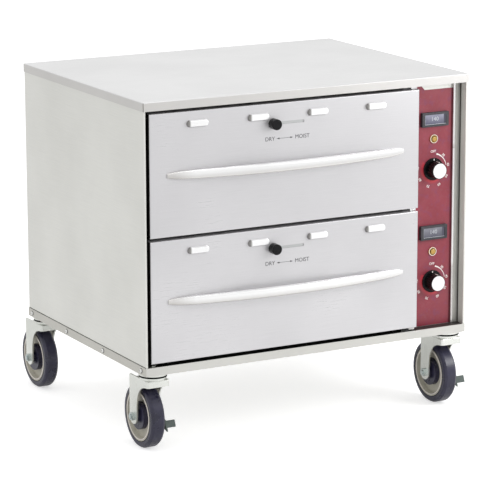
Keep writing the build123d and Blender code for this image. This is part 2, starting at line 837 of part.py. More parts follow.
with BuildPart() as display_bezels:
    with BuildSketch(front_plane(overlay_y)):
        with Locations(*display_points):
            RectangleRounded(display_width, display_height, display_edge_radius)
    extrude(amount=display_projection)
    fillet(display_bezels.faces().group_by(Axis.Y)[0].edges(), display_edge_radius / 2)
    with BuildSketch(front_plane(overlay_y)):
        with Locations(*display_points):
            Rectangle(*display_body)
    extrude(amount=-display_body_depth)
    with BuildSketch(front_plane(overlay_y - display_projection)):
        with Locations(*display_points):
            Rectangle(window_width, window_height)
    extrude(amount=-(window_recess + window_thickness), mode=Mode.SUBTRACT)
save(display_bezels.part, "display_bezels")

with BuildPart() as display_windows:
    with BuildSketch(front_plane(overlay_y - display_projection + window_recess + window_thickness)):
        with Locations(*display_points):
            Rectangle(window_width, window_height)
    extrude(amount=window_thickness)
save(display_windows.part, "display_windows")

with BuildPart() as lamp_bezels:
    with BuildSketch(front_plane(overlay_y)):
        with Locations(*lamp_points):
            Circle(lamp_bezel_radius)
    extrude(amount=lamp_bezel_projection)
    chamfer(lamp_bezels.faces().group_by(Axis.Y)[0].edges(), lamp_bezel_projection / 3)
    with BuildSketch(front_plane(overlay_y)):
        with Locations(*lamp_points):
            Circle(lamp_body_radius)
    extrude(amount=-lamp_body_depth)
    with BuildSketch(front_plane(overlay_y - lamp_bezel_projection)):
        with Locations(*lamp_points):
            Circle(lamp_lens_radius)
    extrude(amount=-2 * lamp_bezel_projection, mode=Mode.SUBTRACT)
save(lamp_bezels.part, "lamp_bezels")

with BuildPart() as lamp_lenses:
    with BuildSketch(front_plane(overlay_y + lamp_bezel_projection)):
        with Locations(*lamp_points):
            Circle(lamp_lens_radius)
    extrude(amount=2 * lamp_bezel_projection + lamp_lens_projection)
    fillet(lamp_lenses.faces().group_by(Axis.Y)[0].edges(), lamp_lens_projection)
save(lamp_lenses.part, "lamp_lenses")

bush_front_y = overlay_y - thermostat_bush_projection
thermostat_y = control_y + case_sheet
shaft_bottom_y = thermostat_y + thermostat_bore_depth

with BuildPart() as thermostats:
    with BuildSketch(front_plane(thermostat_y)):
        with Locations(*dial_points):
            Circle(thermostat_radius)
    extrude(amount=-thermostat_depth)
    with BuildSketch(front_plane(thermostat_y)):
        with Locations(*dial_points):
            Circle(thermostat_bush_radius)
    extrude(amount=thermostat_y - bush_front_y)
    with BuildSketch(front_plane(bush_front_y)):
        with Locations(*dial_points):
            Circle(dial_shaft_radius + running_gap)
    extrude(amount=-(shaft_bottom_y - bush_front_y), mode=Mode.SUBTRACT)
save(thermostats.part, "thermostats")


def make_control_knob(dial_z):
    """Fluted dial with a skirt, and the spindle that it turns."""
    dial_back_y = overlay_y - seat_gap
    dial_front_y = dial_back_y - dial_length
    centre = (control_x, dial_z)
    with BuildPart() as knob:
        with BuildSketch(front_plane(dial_back_y)):
            with Locations(centre):
                Circle(dial_skirt_radius)
        extrude(amount=dial_skirt_thickness)
        chamfer(knob.faces().sort_by(Axis.Y)[0].edges(), dial_skirt_thickness / 3)
        with BuildSketch(front_plane(dial_back_y)):
            with Locations(centre):
                Circle(dial_body_radius)
        extrude(amount=dial_length, taper=dial_draft)
        fillet(knob.faces().sort_by(Axis.Y)[0].edges(), dial_cap_thickness)
        with BuildSketch(front_plane(dial_back_y - dial_skirt_thickness)):
            with Locations(centre):
                with PolarLocations(dial_body_radius, dial_flute_count):
                    Circle(dial_flute_radius)
        extrude(amount=dial_length, mode=Mode.SUBTRACT)
        with BuildSketch(front_plane(dial_front_y)):
            with Locations(centre):
                Circle(dial_cap_radius + running_gap)
        extrude(amount=-dial_cap_seat, mode=Mode.SUBTRACT)
        with BuildSketch(front_plane(dial_back_y)):
            with Locations(centre):
                Circle(thermostat_bush_radius + seat_gap)
        extrude(amount=thermostat_bush_projection, mode=Mode.SUBTRACT)
        with BuildSketch(front_plane(dial_back_y)):
            with Locations(centre):
                Circle(dial_shaft_radius)
        extrude(amount=dial_shaft_grip, mode=Mode.SUBTRACT)
    with BuildPart() as spindle:
        with BuildSketch(front_plane(shaft_bottom_y - seat_gap)):
            with Locations(centre):
                Circle(dial_shaft_radius)
        extrude(amount=shaft_bottom_y - seat_gap - dial_back_y + dial_shaft_grip)
    return Compound(children=[knob.part, spindle.part])


def make_dial_cap(dial_z):
    """Bright disc set into the front of a dial."""
    dial_front_y = overlay_y - seat_gap - dial_length
    with BuildPart() as cap:
        with BuildSketch(front_plane(dial_front_y + dial_cap_seat)):
            with Locations((control_x, dial_z)):
                Circle(dial_cap_radius)
        extrude(amount=dial_cap_thickness)
        chamfer(cap.faces().sort_by(Axis.Y)[0].edges(), dial_cap_thickness / 3)
    return cap.part


for name, level in dial_levels.items():
    save(make_control_knob(level), f"{name}_control_knob")
    save(make_dial_cap(level), f"{name}_knob_cap")

# ---------------------------------------------------------------- fasteners and gland
with BuildPart() as case_fasteners:
    for side in (-1, 1):
        with BuildSketch(side_plane(middle_x + side * cabinet_width / 2)):
            with Locations(*lip_screw_points):
                Circle(screw_head_radius)
        extrude(amount=side * screw_head_height)
    end_groups = case_fasteners.faces().filter_by(Axis.X).group_by(Axis.X)
    fillet((end_groups[0] + end_groups[-1]).edges(), screw_dome_radius)
    for side in (-1, 1):
        with BuildSketch(side_plane(middle_x + side * cabinet_width / 2)):
            with Locations(*lip_screw_points):
                Circle(screw_shank_radius)
        extrude(amount=-side * (base_sheet + seat_gap + case_sheet))
    with BuildSketch(front_plane(back_face_y)):
        with Locations(*back_screw_points):
            Circle(screw_head_radius)
    extrude(amount=-screw_head_height / 2)
    with BuildSketch(front_plane(back_face_y)):
        with Locations(*back_screw_points):
            Circle(screw_shank_radius)
    extrude(amount=3 * case_sheet)
save(case_fasteners.part, "case_fasteners")

with BuildPart() as cable_gland:
    with BuildSketch(front_plane(back_face_y)):
        with Locations(gland_point):
            RegularPolygon(gland_flange_radius, 6)
    extrude(amount=-gland_flange_thickness)
    with BuildSketch(front_plane(back_face_y + gland_flange_thickness)):
        with Locations(gland_point):
            Circle(gland_dome_radius)
    extrude(amount=-gland_dome_length)
    fillet(cable_gland.faces().sort_by(Axis.Y)[-1].edges(), gland_dome_radius / 3)
    with BuildSketch(front_plane(back_face_y)):
        with Locations(gland_point):
            Circle(gland_thread_radius)
    extrude(amount=case_sheet + gland_locknut_thickness)
    with BuildSketch(front_plane(panel_back_y)):
        with Locations(gland_point):
            RegularPolygon(gland_flange_radius, 6)
    extrude(amount=gland_locknut_thickness)
    with BuildSketch(front_plane(panel_back_y - gland_locknut_thickness)):
        with Locations(gland_point):
            Circle(gland_bore_radius)
    gland_length = gland_locknut_thickness + case_sheet + gland_flange_thickness + gland_dome_length
    extrude(amount=-gland_length, mode=Mode.SUBTRACT)
save(cable_gland.part, "cable_gland")

# ---------------------------------------------------------------- casters
race_step_z = upper_race_z + upper_race_height / 2
head_top_z = crown_bottom_z - seat_gap
stem_levels = [
    (stem_head_radius, head_top_z - stem_head_thickness, head_top_z),
    (stem_radius, head_top_z, stem_top_z),
    (upper_race_radius - upper_race_step, upper_race_z, race_step_z),
    (upper_race_radius, race_step_z, base_z),
]

with BuildPart() as caster_stems:
    for radius, bottom, top in stem_levels:
        with BuildSketch(Plane.XY.offset(bottom)):
            with Locations(*caster_points.values()):
                Circle(radius)
        extrude(amount=top - bottom)
with BuildPart() as stem_nuts:
    with BuildSketch(Plane.XY.offset(pad_top_z)):
        with Locations(*caster_points.values()):
            RegularPolygon(stem_nut_flats / 2, 6, major_radius=False)
            Circle(stem_radius + running_gap, mode=Mode.SUBTRACT)
    extrude(amount=stem_nut_thickness)
save(Compound(children=[caster_stems.part, stem_nuts.part]), "caster_stems")


def make_fork(x, y):
    """Pressed fork: crown with a lower race, turned-down front lip and two legs."""
    axle_y = y + caster_trail
    lip_bottom_z = crown_top_z - fork_lip_height
    leg_back_y = axle_y + fork_leg_half_width
    leg_front_y = axle_y - fork_leg_half_width
    crown_front_y = y - fork_front
    knee_z = axle_z + fork_leg_half_width
    with BuildPart() as fork:
        with BuildSketch(side_plane(x - fork_half)):
            with BuildLine():
                Line((crown_front_y, lip_bottom_z), (crown_front_y, crown_top_z))
                Line((crown_front_y, crown_top_z), (leg_back_y, crown_top_z))
                Line((leg_back_y, crown_top_z), (leg_back_y, axle_z))
                ThreePointArc(
                    (leg_back_y, axle_z),
                    (axle_y, axle_z - fork_leg_half_width),
                    (leg_front_y, axle_z),
                )
                Line((leg_front_y, axle_z), (leg_front_y, knee_z))
                Bezier((leg_front_y, knee_z), (leg_front_y, lip_bottom_z), (crown_front_y, lip_bottom_z))
            make_face()
        extrude(amount=2 * fork_half)
        fillet(fork.edges().filter_by(Axis.Z).group_by(Axis.Y)[0], fork_corner_radius)
        fillet(fork.faces().sort_by(Axis.Z)[-1].edges(), fork_bend_radius)
        gap_half = fork_gap / 2
        with BuildSketch(Plane.XY.offset(crown_bottom_z)):
            inside_y = crown_front_y + fork_sheet
            inside_length = leg_back_y + fork_corner_radius - inside_y
            with Locations((x, inside_y + inside_length / 2)):
                RectangleRounded(fork_gap, inside_length, fork_corner_radius - fork_sheet)
        extrude(amount=-crown_bottom_z, mode=Mode.SUBTRACT)
        crown_back_y = y + upper_race_radius
        block(x - gap_half, x + gap_half, crown_back_y, leg_back_y, 0, crown_top_z, Mode.SUBTRACT)
        with BuildSketch(Plane.XY.offset(crown_top_z)):
            with Locations((x, y)):
                Circle(lower_race_radius)
        extrude(amount=lower_race_height)
        with BuildSketch(Plane.XY.offset(crown_bottom_z)):
            with Locations((x, y)):
                Circle(stem_radius + running_gap)
        extrude(amount=crown_sheet + lower_race_height, mode=Mode.SUBTRACT)
        with BuildSketch(side_plane(x - fork_half)):
            with Locations((axle_y, axle_z)):
                Circle(axle_radius + running_gap)
        extrude(amount=2 * fork_half, mode=Mode.SUBTRACT)
    return fork.part


def make_axle(x, y, braked):
    """Hexagon bolt through the fork and wheel, with its nut on the left leg."""
    axle_y = y + caster_trail
    head_x = x + fork_half
    if braked:
        head_x += pedal_sheet + 2 * seat_gap
    nut_x = x - fork_half
    with BuildPart() as bolt:
        with BuildSketch(side_plane(head_x)):
            with Locations((axle_y, axle_z)):
                RegularPolygon(axle_hex_flats / 2, 6, major_radius=False)
        extrude(amount=axle_head_thickness)
        with BuildSketch(side_plane(head_x)):
            with Locations((axle_y, axle_z)):
                Circle(axle_radius)
        extrude(amount=-(head_x - nut_x + axle_nut_thickness + axle_stub))
    with BuildPart() as nut:
        with BuildSketch(side_plane(nut_x)):
            with Locations((axle_y, axle_z)):
                RegularPolygon(axle_hex_flats / 2, 6, major_radius=False)
                Circle(axle_radius + running_gap, mode=Mode.SUBTRACT)
        extrude(amount=-axle_nut_thickness)
    return Compound(children=[bolt.part, nut.part])


def revolved(x, y, outline):
    """Turn an outline of (offset from the wheel's middle, radius) about the axle."""
    axle_y = y + caster_trail
    with BuildPart() as turned:
        with BuildSketch(Plane.XY.offset(axle_z)):
            with BuildLine():
                Polyline(*[(x + across, axle_y + radius) for across, radius in outline], close=True)
            make_face()
        revolve(axis=Axis((x, axle_y, axle_z), (1, 0, 0)))
    return turned.part


def make_wheel_core(x, y):
    """Moulded core: a rim ring and a thinner web round the hub."""
    half = wheel_width / 2
    web = core_web_thickness / 2
    rim_inside = core_radius - core_rim_thickness
    return revolved(
        x,
        y,
        [
            (-half, core_radius),
            (-half, rim_inside),
            (-web, rim_inside - core_rim_thickness / 2),
            (-web, hub_radius),
            (web, hub_radius),
            (web, rim_inside - core_rim_thickness / 2),
            (half, rim_inside),
            (half, core_radius),
        ],
    )


def make_tyre(x, y):
    """Tread with bevelled shoulders, and the dark hub with its bearing boss."""
    half = wheel_width / 2
    flat = tread_flat / 2
    tread = revolved(
        x,
        y,
        [
            (-half, core_radius),
            (-half, wheel_radius - tread_side_drop),
            (-half + tread_shoulder / 2, wheel_radius - tread_shoulder),
            (-flat, wheel_radius),
            (flat, wheel_radius),
            (half - tread_shoulder / 2, wheel_radius - tread_shoulder),
            (half, wheel_radius - tread_side_drop),
            (half, core_radius),
        ],
    )
    bore = axle_radius + running_gap
    hub_half = half + hub_proud
    boss_half = fork_gap / 2 - seat_gap
    hub = revolved(
        x,
        y,
        [
            (-boss_half, bore),
            (-boss_half, boss_radius),
            (-hub_half, boss_radius),
            (-hub_half, hub_radius),
            (hub_half, hub_radius),
            (hub_half, boss_radius),
            (boss_half, boss_radius),
            (boss_half, bore),
        ],
    )
    return Compound(children=[tread, hub])


def make_brake_pedal(x, y):
    """Lever on the axle, beside the right leg, with a tab for the foot."""
    axle_y = y + caster_trail
    inner_x = x + fork_half + seat_gap
    top = (axle_y - pedal_top_reach, axle_z - pedal_top_drop)
    tip = (axle_y - pedal_reach, axle_z - pedal_tip_drop)
    slope = math.atan2(top[1] - tip[1], top[0] - tip[0])
    thick = (pedal_sheet * math.sin(slope), -pedal_sheet * math.cos(slope))
    fold = (
        top[0] - pedal_tab_length * math.cos(slope),
        top[1] - pedal_tab_length * math.sin(slope),
    )
    with BuildPart() as pedal:
        with BuildSketch(side_plane(inner_x)):
            with BuildLine():
                Polyline(
                    (axle_y, axle_z + pedal_pivot_radius / 2),
                    top,
                    tip,
                    (axle_y, axle_z - pedal_pivot_radius),
                    close=True,
                )
            make_face()
            with Locations((axle_y, axle_z)):
                Circle(pedal_pivot_radius)
                Circle(axle_radius + running_gap, mode=Mode.SUBTRACT)
        extrude(amount=pedal_sheet)
        with BuildSketch(side_plane(inner_x)):
            with BuildLine():
                Polyline(
                    top,
                    fold,
                    (fold[0] + thick[0], fold[1] + thick[1]),
                    (top[0] + thick[0], top[1] + thick[1]),
                    close=True,
                )
            make_face()
        extrude(amount=pedal_sheet + pedal_tab_width)
        tab_corners = pedal.edges().group_by(Axis.X)[-1].sort_by(Axis.Z)
        fillet([tab_corners[0], tab_corners[-1]], pedal_sheet / 3)
    return pedal.part


for name, (x, y) in caster_points.items():
    braked = name in braked_casters
    save(make_fork(x, y), f"{name}_fork")
    save(make_axle(x, y, braked), f"{name}_axle")
    save(make_wheel_core(x, y), f"{name}_wheel_core")
    save(make_tyre(x, y), f"{name}_tyre")
    if braked:
        save(make_brake_pedal(x, y), f"{name}_brake_pedal")
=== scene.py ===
"""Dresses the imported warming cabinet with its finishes, lettering and small trim."""

import json
import math

import bpy
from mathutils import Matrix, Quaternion, Vector


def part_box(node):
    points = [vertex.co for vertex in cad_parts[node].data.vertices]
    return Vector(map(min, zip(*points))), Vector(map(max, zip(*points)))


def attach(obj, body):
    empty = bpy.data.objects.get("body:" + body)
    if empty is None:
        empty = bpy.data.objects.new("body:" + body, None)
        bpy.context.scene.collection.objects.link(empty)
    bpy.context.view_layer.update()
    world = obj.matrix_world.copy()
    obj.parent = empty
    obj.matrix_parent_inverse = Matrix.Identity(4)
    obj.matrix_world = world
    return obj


bl_info = {
    "name": "Warming cabinet dresser",
    "version": (1, 0, 0),
    "blender": (4, 5, 0),
    "location": "3D View > Sidebar > Warmer",
    "description": "Finishes, lettering, trim and studio for a two-drawer warming cabinet",
    "category": "Object",
}

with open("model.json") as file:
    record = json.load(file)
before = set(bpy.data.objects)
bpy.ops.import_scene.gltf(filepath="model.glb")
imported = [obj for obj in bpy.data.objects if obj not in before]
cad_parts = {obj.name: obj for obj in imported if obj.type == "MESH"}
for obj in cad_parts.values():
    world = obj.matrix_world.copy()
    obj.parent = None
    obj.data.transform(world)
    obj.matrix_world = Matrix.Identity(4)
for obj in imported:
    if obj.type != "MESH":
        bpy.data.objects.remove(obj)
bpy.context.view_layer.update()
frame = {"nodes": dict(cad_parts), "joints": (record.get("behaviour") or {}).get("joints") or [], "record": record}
NODES = frame["nodes"]
JOINTS = {joint["name"]: joint for joint in frame["joints"]}
SLOTS = {part["node"]: part["material_slot"] for part in frame["record"]["subparts"]}
LEVELS = ("upper", "lower")
CORNERS = ("front_left", "front_right", "back_left", "back_right")
LIP_SCREW_COUNT = 4
MM = 0.001
LIP_SCREW_INSET = 21.5 * MM
LOUVRE_PITCH = 135.7 * MM
LOUVRE_LENGTH = 49 * MM
DIAL_LIFT = JOINTS["upper_dial_turn"]["pos_m"][2] - JOINTS["lower_dial_turn"]["pos_m"][2]
SMOOTH_ANGLE = math.radians(35)
PRINT_LIFT = 0.05 * MM  # printing stands this far in front of its surface
PRINT_DEPTH = 0.06 * MM
SENSOR_WIDTH = 36
FLOOR_SIZE = 60


# ------------------------------------------------------------------ shared helpers
def linear(red, green, blue):
    """Screen colour, 0 to 255, as the linear colour that a shader takes."""
    shares = [value / 255 for value in (red, green, blue)]
    curve = [c / 12.92 if c <= 0.04045 else ((c + 0.055) / 1.055) ** 2.4 for c in shares]
    return (*curve, 1.0)


def rest():
    """Leave edit mode and deselect everything."""
    if bpy.context.object is not None and bpy.context.object.mode != "OBJECT":
        bpy.ops.object.mode_set(mode="OBJECT")
    bpy.ops.object.select_all(action="DESELECT")


def pick(*objects):
    """Select these objects alone; the last one is active."""
    rest()
    for obj in objects:
        obj.select_set(True)
    bpy.context.view_layer.objects.active = objects[-1]


def settle(name, body, slot_name, *objects):
    """Join objects into one named piece at the origin, and let it ride on a body."""
    pick(*objects)
    if len(objects) > 1:
        bpy.ops.object.join()
    piece = bpy.context.object
    bpy.ops.object.transform_apply(location=True, rotation=True, scale=True)
    piece.name = name
    piece.data.name = name
    piece.data.materials.clear()
    piece.data.materials.append(bpy.data.materials[slot_name])
    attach(piece, body)
    rest()


def edit(piece):
    """Open a piece for editing, with all of its mesh selected."""
    pick(piece)
    bpy.ops.object.mode_set(mode="EDIT")
    bpy.ops.mesh.select_mode(type="VERT")
    bpy.ops.mesh.select_all(action="SELECT")


def close_edit():
    """Make the normals point outwards and leave edit mode."""
    bpy.ops.mesh.select_all(action="SELECT")
    bpy.ops.mesh.normals_make_consistent(inside=False)
    bpy.ops.object.mode_set(mode="OBJECT")


def beam(low, high, edge):
    """Bar between two corners, with its edges rounded over."""
    rest()
    low, high = Vector(low), Vector(high)
    bpy.ops.mesh.primitive_cube_add(size=1, location=(low + high) / 2)
    bar = bpy.context.object
    bar.scale = high - low
    bpy.ops.object.transform_apply(location=True, rotation=True, scale=True)
    edit(bar)
    bpy.ops.mesh.bevel(offset=edge, segments=2, affect="EDGES")
    close_edit()
    return bar


AXIS_TURNS = {"x": (0, math.pi / 2, 0), "y": (-math.pi / 2, 0, 0), "z": (0, 0, 0)}


def turned(centre, axis, rows, vertices=64):
    """Closed ring turned about an axis, from rows of (offset along it, radius)."""
    rest()
    start, radius = rows[0]
    bpy.ops.mesh.primitive_circle_add(vertices=vertices, radius=radius, location=(0, 0, start))
    piece = bpy.context.object
    bpy.ops.object.transform_apply(location=True, rotation=True, scale=True)
    edit(piece)
    for (here, old), (there, new) in zip(rows, (*rows[1:], rows[0])):
        bpy.ops.mesh.extrude_region_move(TRANSFORM_OT_translate={"value": (0, 0, there - here)})
        grow = new / old
        bpy.ops.transform.resize(value=(grow, grow, 1), center_override=(0, 0, there))
    bpy.ops.mesh.select_all(action="SELECT")
    bpy.ops.mesh.remove_doubles(threshold=0.01 * MM)
    close_edit()
    piece.rotation_euler = AXIS_TURNS[axis]
    piece.location = centre
    bpy.ops.object.transform_apply(location=True, rotation=True, scale=True)
    bpy.ops.object.shade_smooth_by_angle(angle=SMOOTH_ANGLE)
    return piece


def flat_ring(centre, axis, inner, outer, proud, vertices=64):
    """Ring with square edges between two radii, standing proud of a surface."""
    rows = ((0, inner), (proud, inner), (proud, outer), (0, outer))
    return turned(centre, axis, rows, vertices)


def lettering(text, size, place, lean=0.0, weight=0.0):
    """Flat lettering that faces the front, centred on a point, as a mesh."""
    rest()
    bpy.ops.object.text_add(location=(0, 0, 0))
    words = bpy.context.object
    words.data.body = text
    words.data.size = size
    words.data.align_x = "CENTER"
    words.data.align_y = "CENTER"
    words.data.extrude = PRINT_DEPTH
    words.data.offset = weight
    words.data.resolution_u = 3
    bpy.ops.object.convert(target="MESH")
    words = bpy.context.object
    words.rotation_euler = (math.pi / 2, lean, 0)
    words.location = place
    bpy.ops.object.transform_apply(location=True, rotation=True, scale=True)
    return words


# ------------------------------------------------------------------ shader groups
def socket_list(tree, direction, sockets):
    """Make a group's sockets from (name, type, default) rows."""
    for name, kind, default in sockets:
        socket = tree.interface.new_socket(name=name, in_out=direction, socket_type=kind)
        if default is not None:
            socket.default_value = default


def start_group(name, inputs, outputs):
    """New shader group with its sockets; returns the tree, its input and its output."""
    tree = bpy.data.node_groups.new(name, "ShaderNodeTree")
    socket_list(tree, "INPUT", inputs)
    socket_list(tree, "OUTPUT", outputs)
    return tree, tree.nodes.new("NodeGroupInput"), tree.nodes.new("NodeGroupOutput")


def add_noise(tree, vector, scale, detail, roughness=0.55):
    """Noise texture on a vector; returns its grey output."""
    noise = tree.nodes.new("ShaderNodeTexNoise")
    noise.inputs["Scale"].default_value = scale
    noise.inputs["Detail"].default_value = detail
    noise.inputs["Roughness"].default_value = roughness
    tree.links.new(vector, noise.inputs["Vector"])
    return noise.outputs["Fac"]


def feed(tree, socket, setting):
    """Link a socket to another one, or give it a plain value."""
    if isinstance(setting, bpy.types.NodeSocket):
        tree.links.new(setting, socket)
    else:
        socket.default_value = setting


def add_range(tree, value, from_low, from_high, to_low, to_high):
    """Map a value from one range to another; the new range may be numbers or sockets."""
    node = tree.nodes.new("ShaderNodeMapRange")
    tree.links.new(value, node.inputs["Value"])
    names = ("From Min", "From Max", "To Min", "To Max")
    for name, setting in zip(names, (from_low, from_high, to_low, to_high)):
        feed(tree, node.inputs[name], setting)
    return node.outputs["Result"]


def add_blend(tree, share, first, second, mode="MIX"):
    """Mix two colours by a share; each may be a value or a socket."""
    node = tree.nodes.new("ShaderNodeMix")
    node.data_type = "RGBA"
    node.blend_type = mode
    for index, setting in ((0, share), (6, first), (7, second)):
        feed(tree, node.inputs[index], setting)
    return node.outputs[2]


def add_math(tree, operation, first, second=0.0):
    """One sum on two numbers or sockets."""
    node = tree.nodes.new("ShaderNodeMath")
    node.operation = operation
    for index, setting in enumerate((first, second)):
        feed(tree, node.inputs[index], setting)
    return node.outputs[0]


def add_band(tree, value, low, high, soft):
    """One between two levels of a value, fading to zero outside them."""
    rising = add_range(tree, value, low - soft, low, 0.0, 1.0)
    falling = add_range(tree, value, high, high + soft, 1.0, 0.0)
    return add_math(tree, "MULTIPLY", rising, falling)


def make_dial_band_group():
    """Bright printed band round part of a dial, in the plane of the front."""
    tree, start, end = start_group(
        "Dial band",
        [("Place", "NodeSocketVector", None)],
        [("Mask", "NodeSocketFloat", None)],
    )
    split = tree.nodes.new("ShaderNodeSeparateXYZ")
    tree.links.new(start.outputs["Place"], split.inputs["Vector"])
    across, height = split.outputs["X"], split.outputs["Z"]
    squares = [add_math(tree, "MULTIPLY", value, value) for value in (across, height)]
    radius = add_math(tree, "SQRT", add_math(tree, "ADD", *squares))
    angle = add_math(tree, "ARCTAN2", height, across)
    ring = add_band(tree, radius, 22 * MM, 27 * MM, 5 * MM)
    sweep = add_band(tree, angle, -math.pi, math.radians(-62), math.radians(8))
    upper = add_band(tree, angle, math.radians(150), math.pi, math.radians(8))
    around = add_math(tree, "MAXIMUM", sweep, upper)
    tree.links.new(add_math(tree, "MULTIPLY", ring, around), end.inputs["Mask"])


def make_grain_group():
    """Brushed sheet: fine streaks along the stretched vector, and broad cloudy marks."""
    tree, start, end = start_group(
        "Brushed grain",
        [
            ("Streaks", "NodeSocketVector", None),
            ("Place", "NodeSocketVector", None),
            ("Light", "NodeSocketColor", linear(230, 230, 228)),
            ("Dark", "NodeSocketColor", linear(200, 200, 198)),
            ("Smooth", "NodeSocketFloat", 0.28),
            ("Rough", "NodeSocketFloat", 0.42),
        ],
        [
            ("Colour", "NodeSocketColor", None),
            ("Roughness", "NodeSocketFloat", None),
            ("Height", "NodeSocketFloat", None),
        ],
    )
    streak = add_noise(tree, start.outputs["Streaks"], 1.0, 5.0, 0.65)
    cloud = add_noise(tree, start.outputs["Place"], 5.5, 3.0, 0.5)
    streak_share = add_range(tree, streak, 0.3, 0.7, 0.0, 1.0)
    cloud_share = add_range(tree, cloud, 0.35, 0.65, 0.0, 1.0)
    weighted = add_math(tree, "MULTIPLY", streak_share, 0.55)
    clouded = add_math(tree, "MULTIPLY", cloud_share, 0.45)
    share = add_math(tree, "ADD", weighted, clouded)
    colour = add_blend(tree, share, start.outputs["Dark"], start.outputs["Light"])
    roughness = add_range(tree, share, 0.0, 1.0, start.outputs["Rough"], start.outputs["Smooth"])
    tree.links.new(colour, end.inputs["Colour"])
    tree.links.new(roughness, end.inputs["Roughness"])
    tree.links.new(streak, end.inputs["Height"])


def make_moulded_group():
    """Moulded plastic or rubber: fine speckle, faint flow marks and a dull bloom."""
    tree, start, end = start_group(
        "Moulded skin",
        [
            ("Place", "NodeSocketVector", None),
            ("Light", "NodeSocketColor", linear(60, 60, 60)),
            ("Dark", "NodeSocketColor", linear(40, 40, 40)),
            ("Smooth", "NodeSocketFloat", 0.35),
            ("Rough", "NodeSocketFloat", 0.55),
        ],
        [
            ("Colour", "NodeSocketColor", None),
            ("Roughness", "NodeSocketFloat", None),
            ("Height", "NodeSocketFloat", None),
        ],
    )
    speckle = add_noise(tree, start.outputs["Place"], 900.0, 2.0, 0.6)
    flow = add_noise(tree, start.outputs["Place"], 28.0, 4.0, 0.6)
    share = add_range(tree, flow, 0.35, 0.65, 0.0, 1.0)
    colour = add_blend(tree, share, start.outputs["Dark"], start.outputs["Light"])
    roughness = add_range(tree, share, 0.0, 1.0, start.outputs["Smooth"], start.outputs["Rough"])
    tree.links.new(colour, end.inputs["Colour"])
    tree.links.new(roughness, end.inputs["Roughness"])
    tree.links.new(speckle, end.inputs["Height"])


def make_dust_group():
    """Handling marks and dust: a mask that gathers in soft patches."""
    tree, start, end = start_group(
        "Handling marks",
        [("Place", "NodeSocketVector", None), ("Amount", "NodeSocketFloat", 0.2)],
        [("Mask", "NodeSocketFloat", None)],
    )
    patches = add_noise(tree, start.outputs["Place"], 9.0, 6.0, 0.7)
    specks = add_noise(tree, start.outputs["Place"], 160.0, 2.0, 0.5)
    patch_mask = add_range(tree, patches, 0.5, 0.75, 0.0, 1.0)
    speck_mask = add_range(tree, specks, 0.55, 0.8, 0.0, 1.0)
    both = add_math(tree, "MAXIMUM", patch_mask, speck_mask)
    tree.links.new(add_math(tree, "MULTIPLY", both, start.outputs["Amount"]), end.inputs["Mask"])


# ------------------------------------------------------------------ materials
def start_material(name):
    """Rebuild the slot's own material; returns material, tree, shader and coordinates."""
    material = bpy.data.materials[name]
    material.use_nodes = True
    tree = material.node_tree
    tree.nodes.clear()
    shader = tree.nodes.new("ShaderNodeBsdfPrincipled")
    output = tree.nodes.new("ShaderNodeOutputMaterial")
    tree.links.new(shader.outputs["BSDF"], output.inputs["Surface"])
    coords = tree.nodes.new("ShaderNodeTexCoord")
    return material, tree, shader, coords.outputs["Object"]


def add_group(tree, group_name, links, values):
    """Place a shader group and set its sockets."""
    node = tree.nodes.new("ShaderNodeGroup")
    node.node_tree = bpy.data.node_groups[group_name]
    for name, socket in links.items():
        tree.links.new(socket, node.inputs[name])
    for name, value in values.items():
        node.inputs[name].default_value = value
    return node


def stretch(tree, coords, scale, centre=(0, 0, 0)):
    """Mapping node that moves a centre to zero and then scales."""
    node = tree.nodes.new("ShaderNodeMapping")
    node.inputs["Location"].default_value = [-c * s for c, s in zip(centre, scale)]
    node.inputs["Scale"].default_value = scale
    tree.links.new(coords, node.inputs["Vector"])
    return node.outputs["Vector"]


def add_bump(tree, shader, height, strength, distance):
    """Feed a height into the shader's normal."""
    bump = tree.nodes.new("ShaderNodeBump")
    bump.inputs["Strength"].default_value = strength
    bump.inputs["Distance"].default_value = distance
    tree.links.new(height, bump.inputs["Height"])
    tree.links.new(bump.outputs["Normal"], shader.inputs["Normal"])


def split_place(tree):
    """Object coordinates as three numbers."""
    coords = tree.nodes.new("ShaderNodeTexCoord")
    split = tree.nodes.new("ShaderNodeSeparateXYZ")
    tree.links.new(coords.outputs["Object"], split.inputs["Vector"])
    return split.outputs


def blend_over(material, mask, colour, mode="MIX"):
    """Lay a colour over a material's base colour where a mask is one."""
    tree = material.node_tree
    base = tree.nodes["Principled BSDF"].inputs["Base Color"]
    under = base.links[0].from_socket
    tree.links.new(add_blend(tree, mask, under, colour, mode), base)


def darken_band(material, axis, low, high, soft, colour):
    """Multiply a material's colour between two places along an axis."""
    tree = material.node_tree
    mask = add_band(tree, split_place(tree)[axis], low, high, soft)
    blend_over(material, mask, colour, "MULTIPLY")


ALONG_GRAIN, ACROSS_GRAIN = 14.0, 1400.0
STREAK_SCALES = {
    "x": (ALONG_GRAIN, ACROSS_GRAIN, ACROSS_GRAIN),
    "y": (ACROSS_GRAIN, ALONG_GRAIN, ACROSS_GRAIN),
    "z": (ACROSS_GRAIN, ACROSS_GRAIN, ALONG_GRAIN),
}


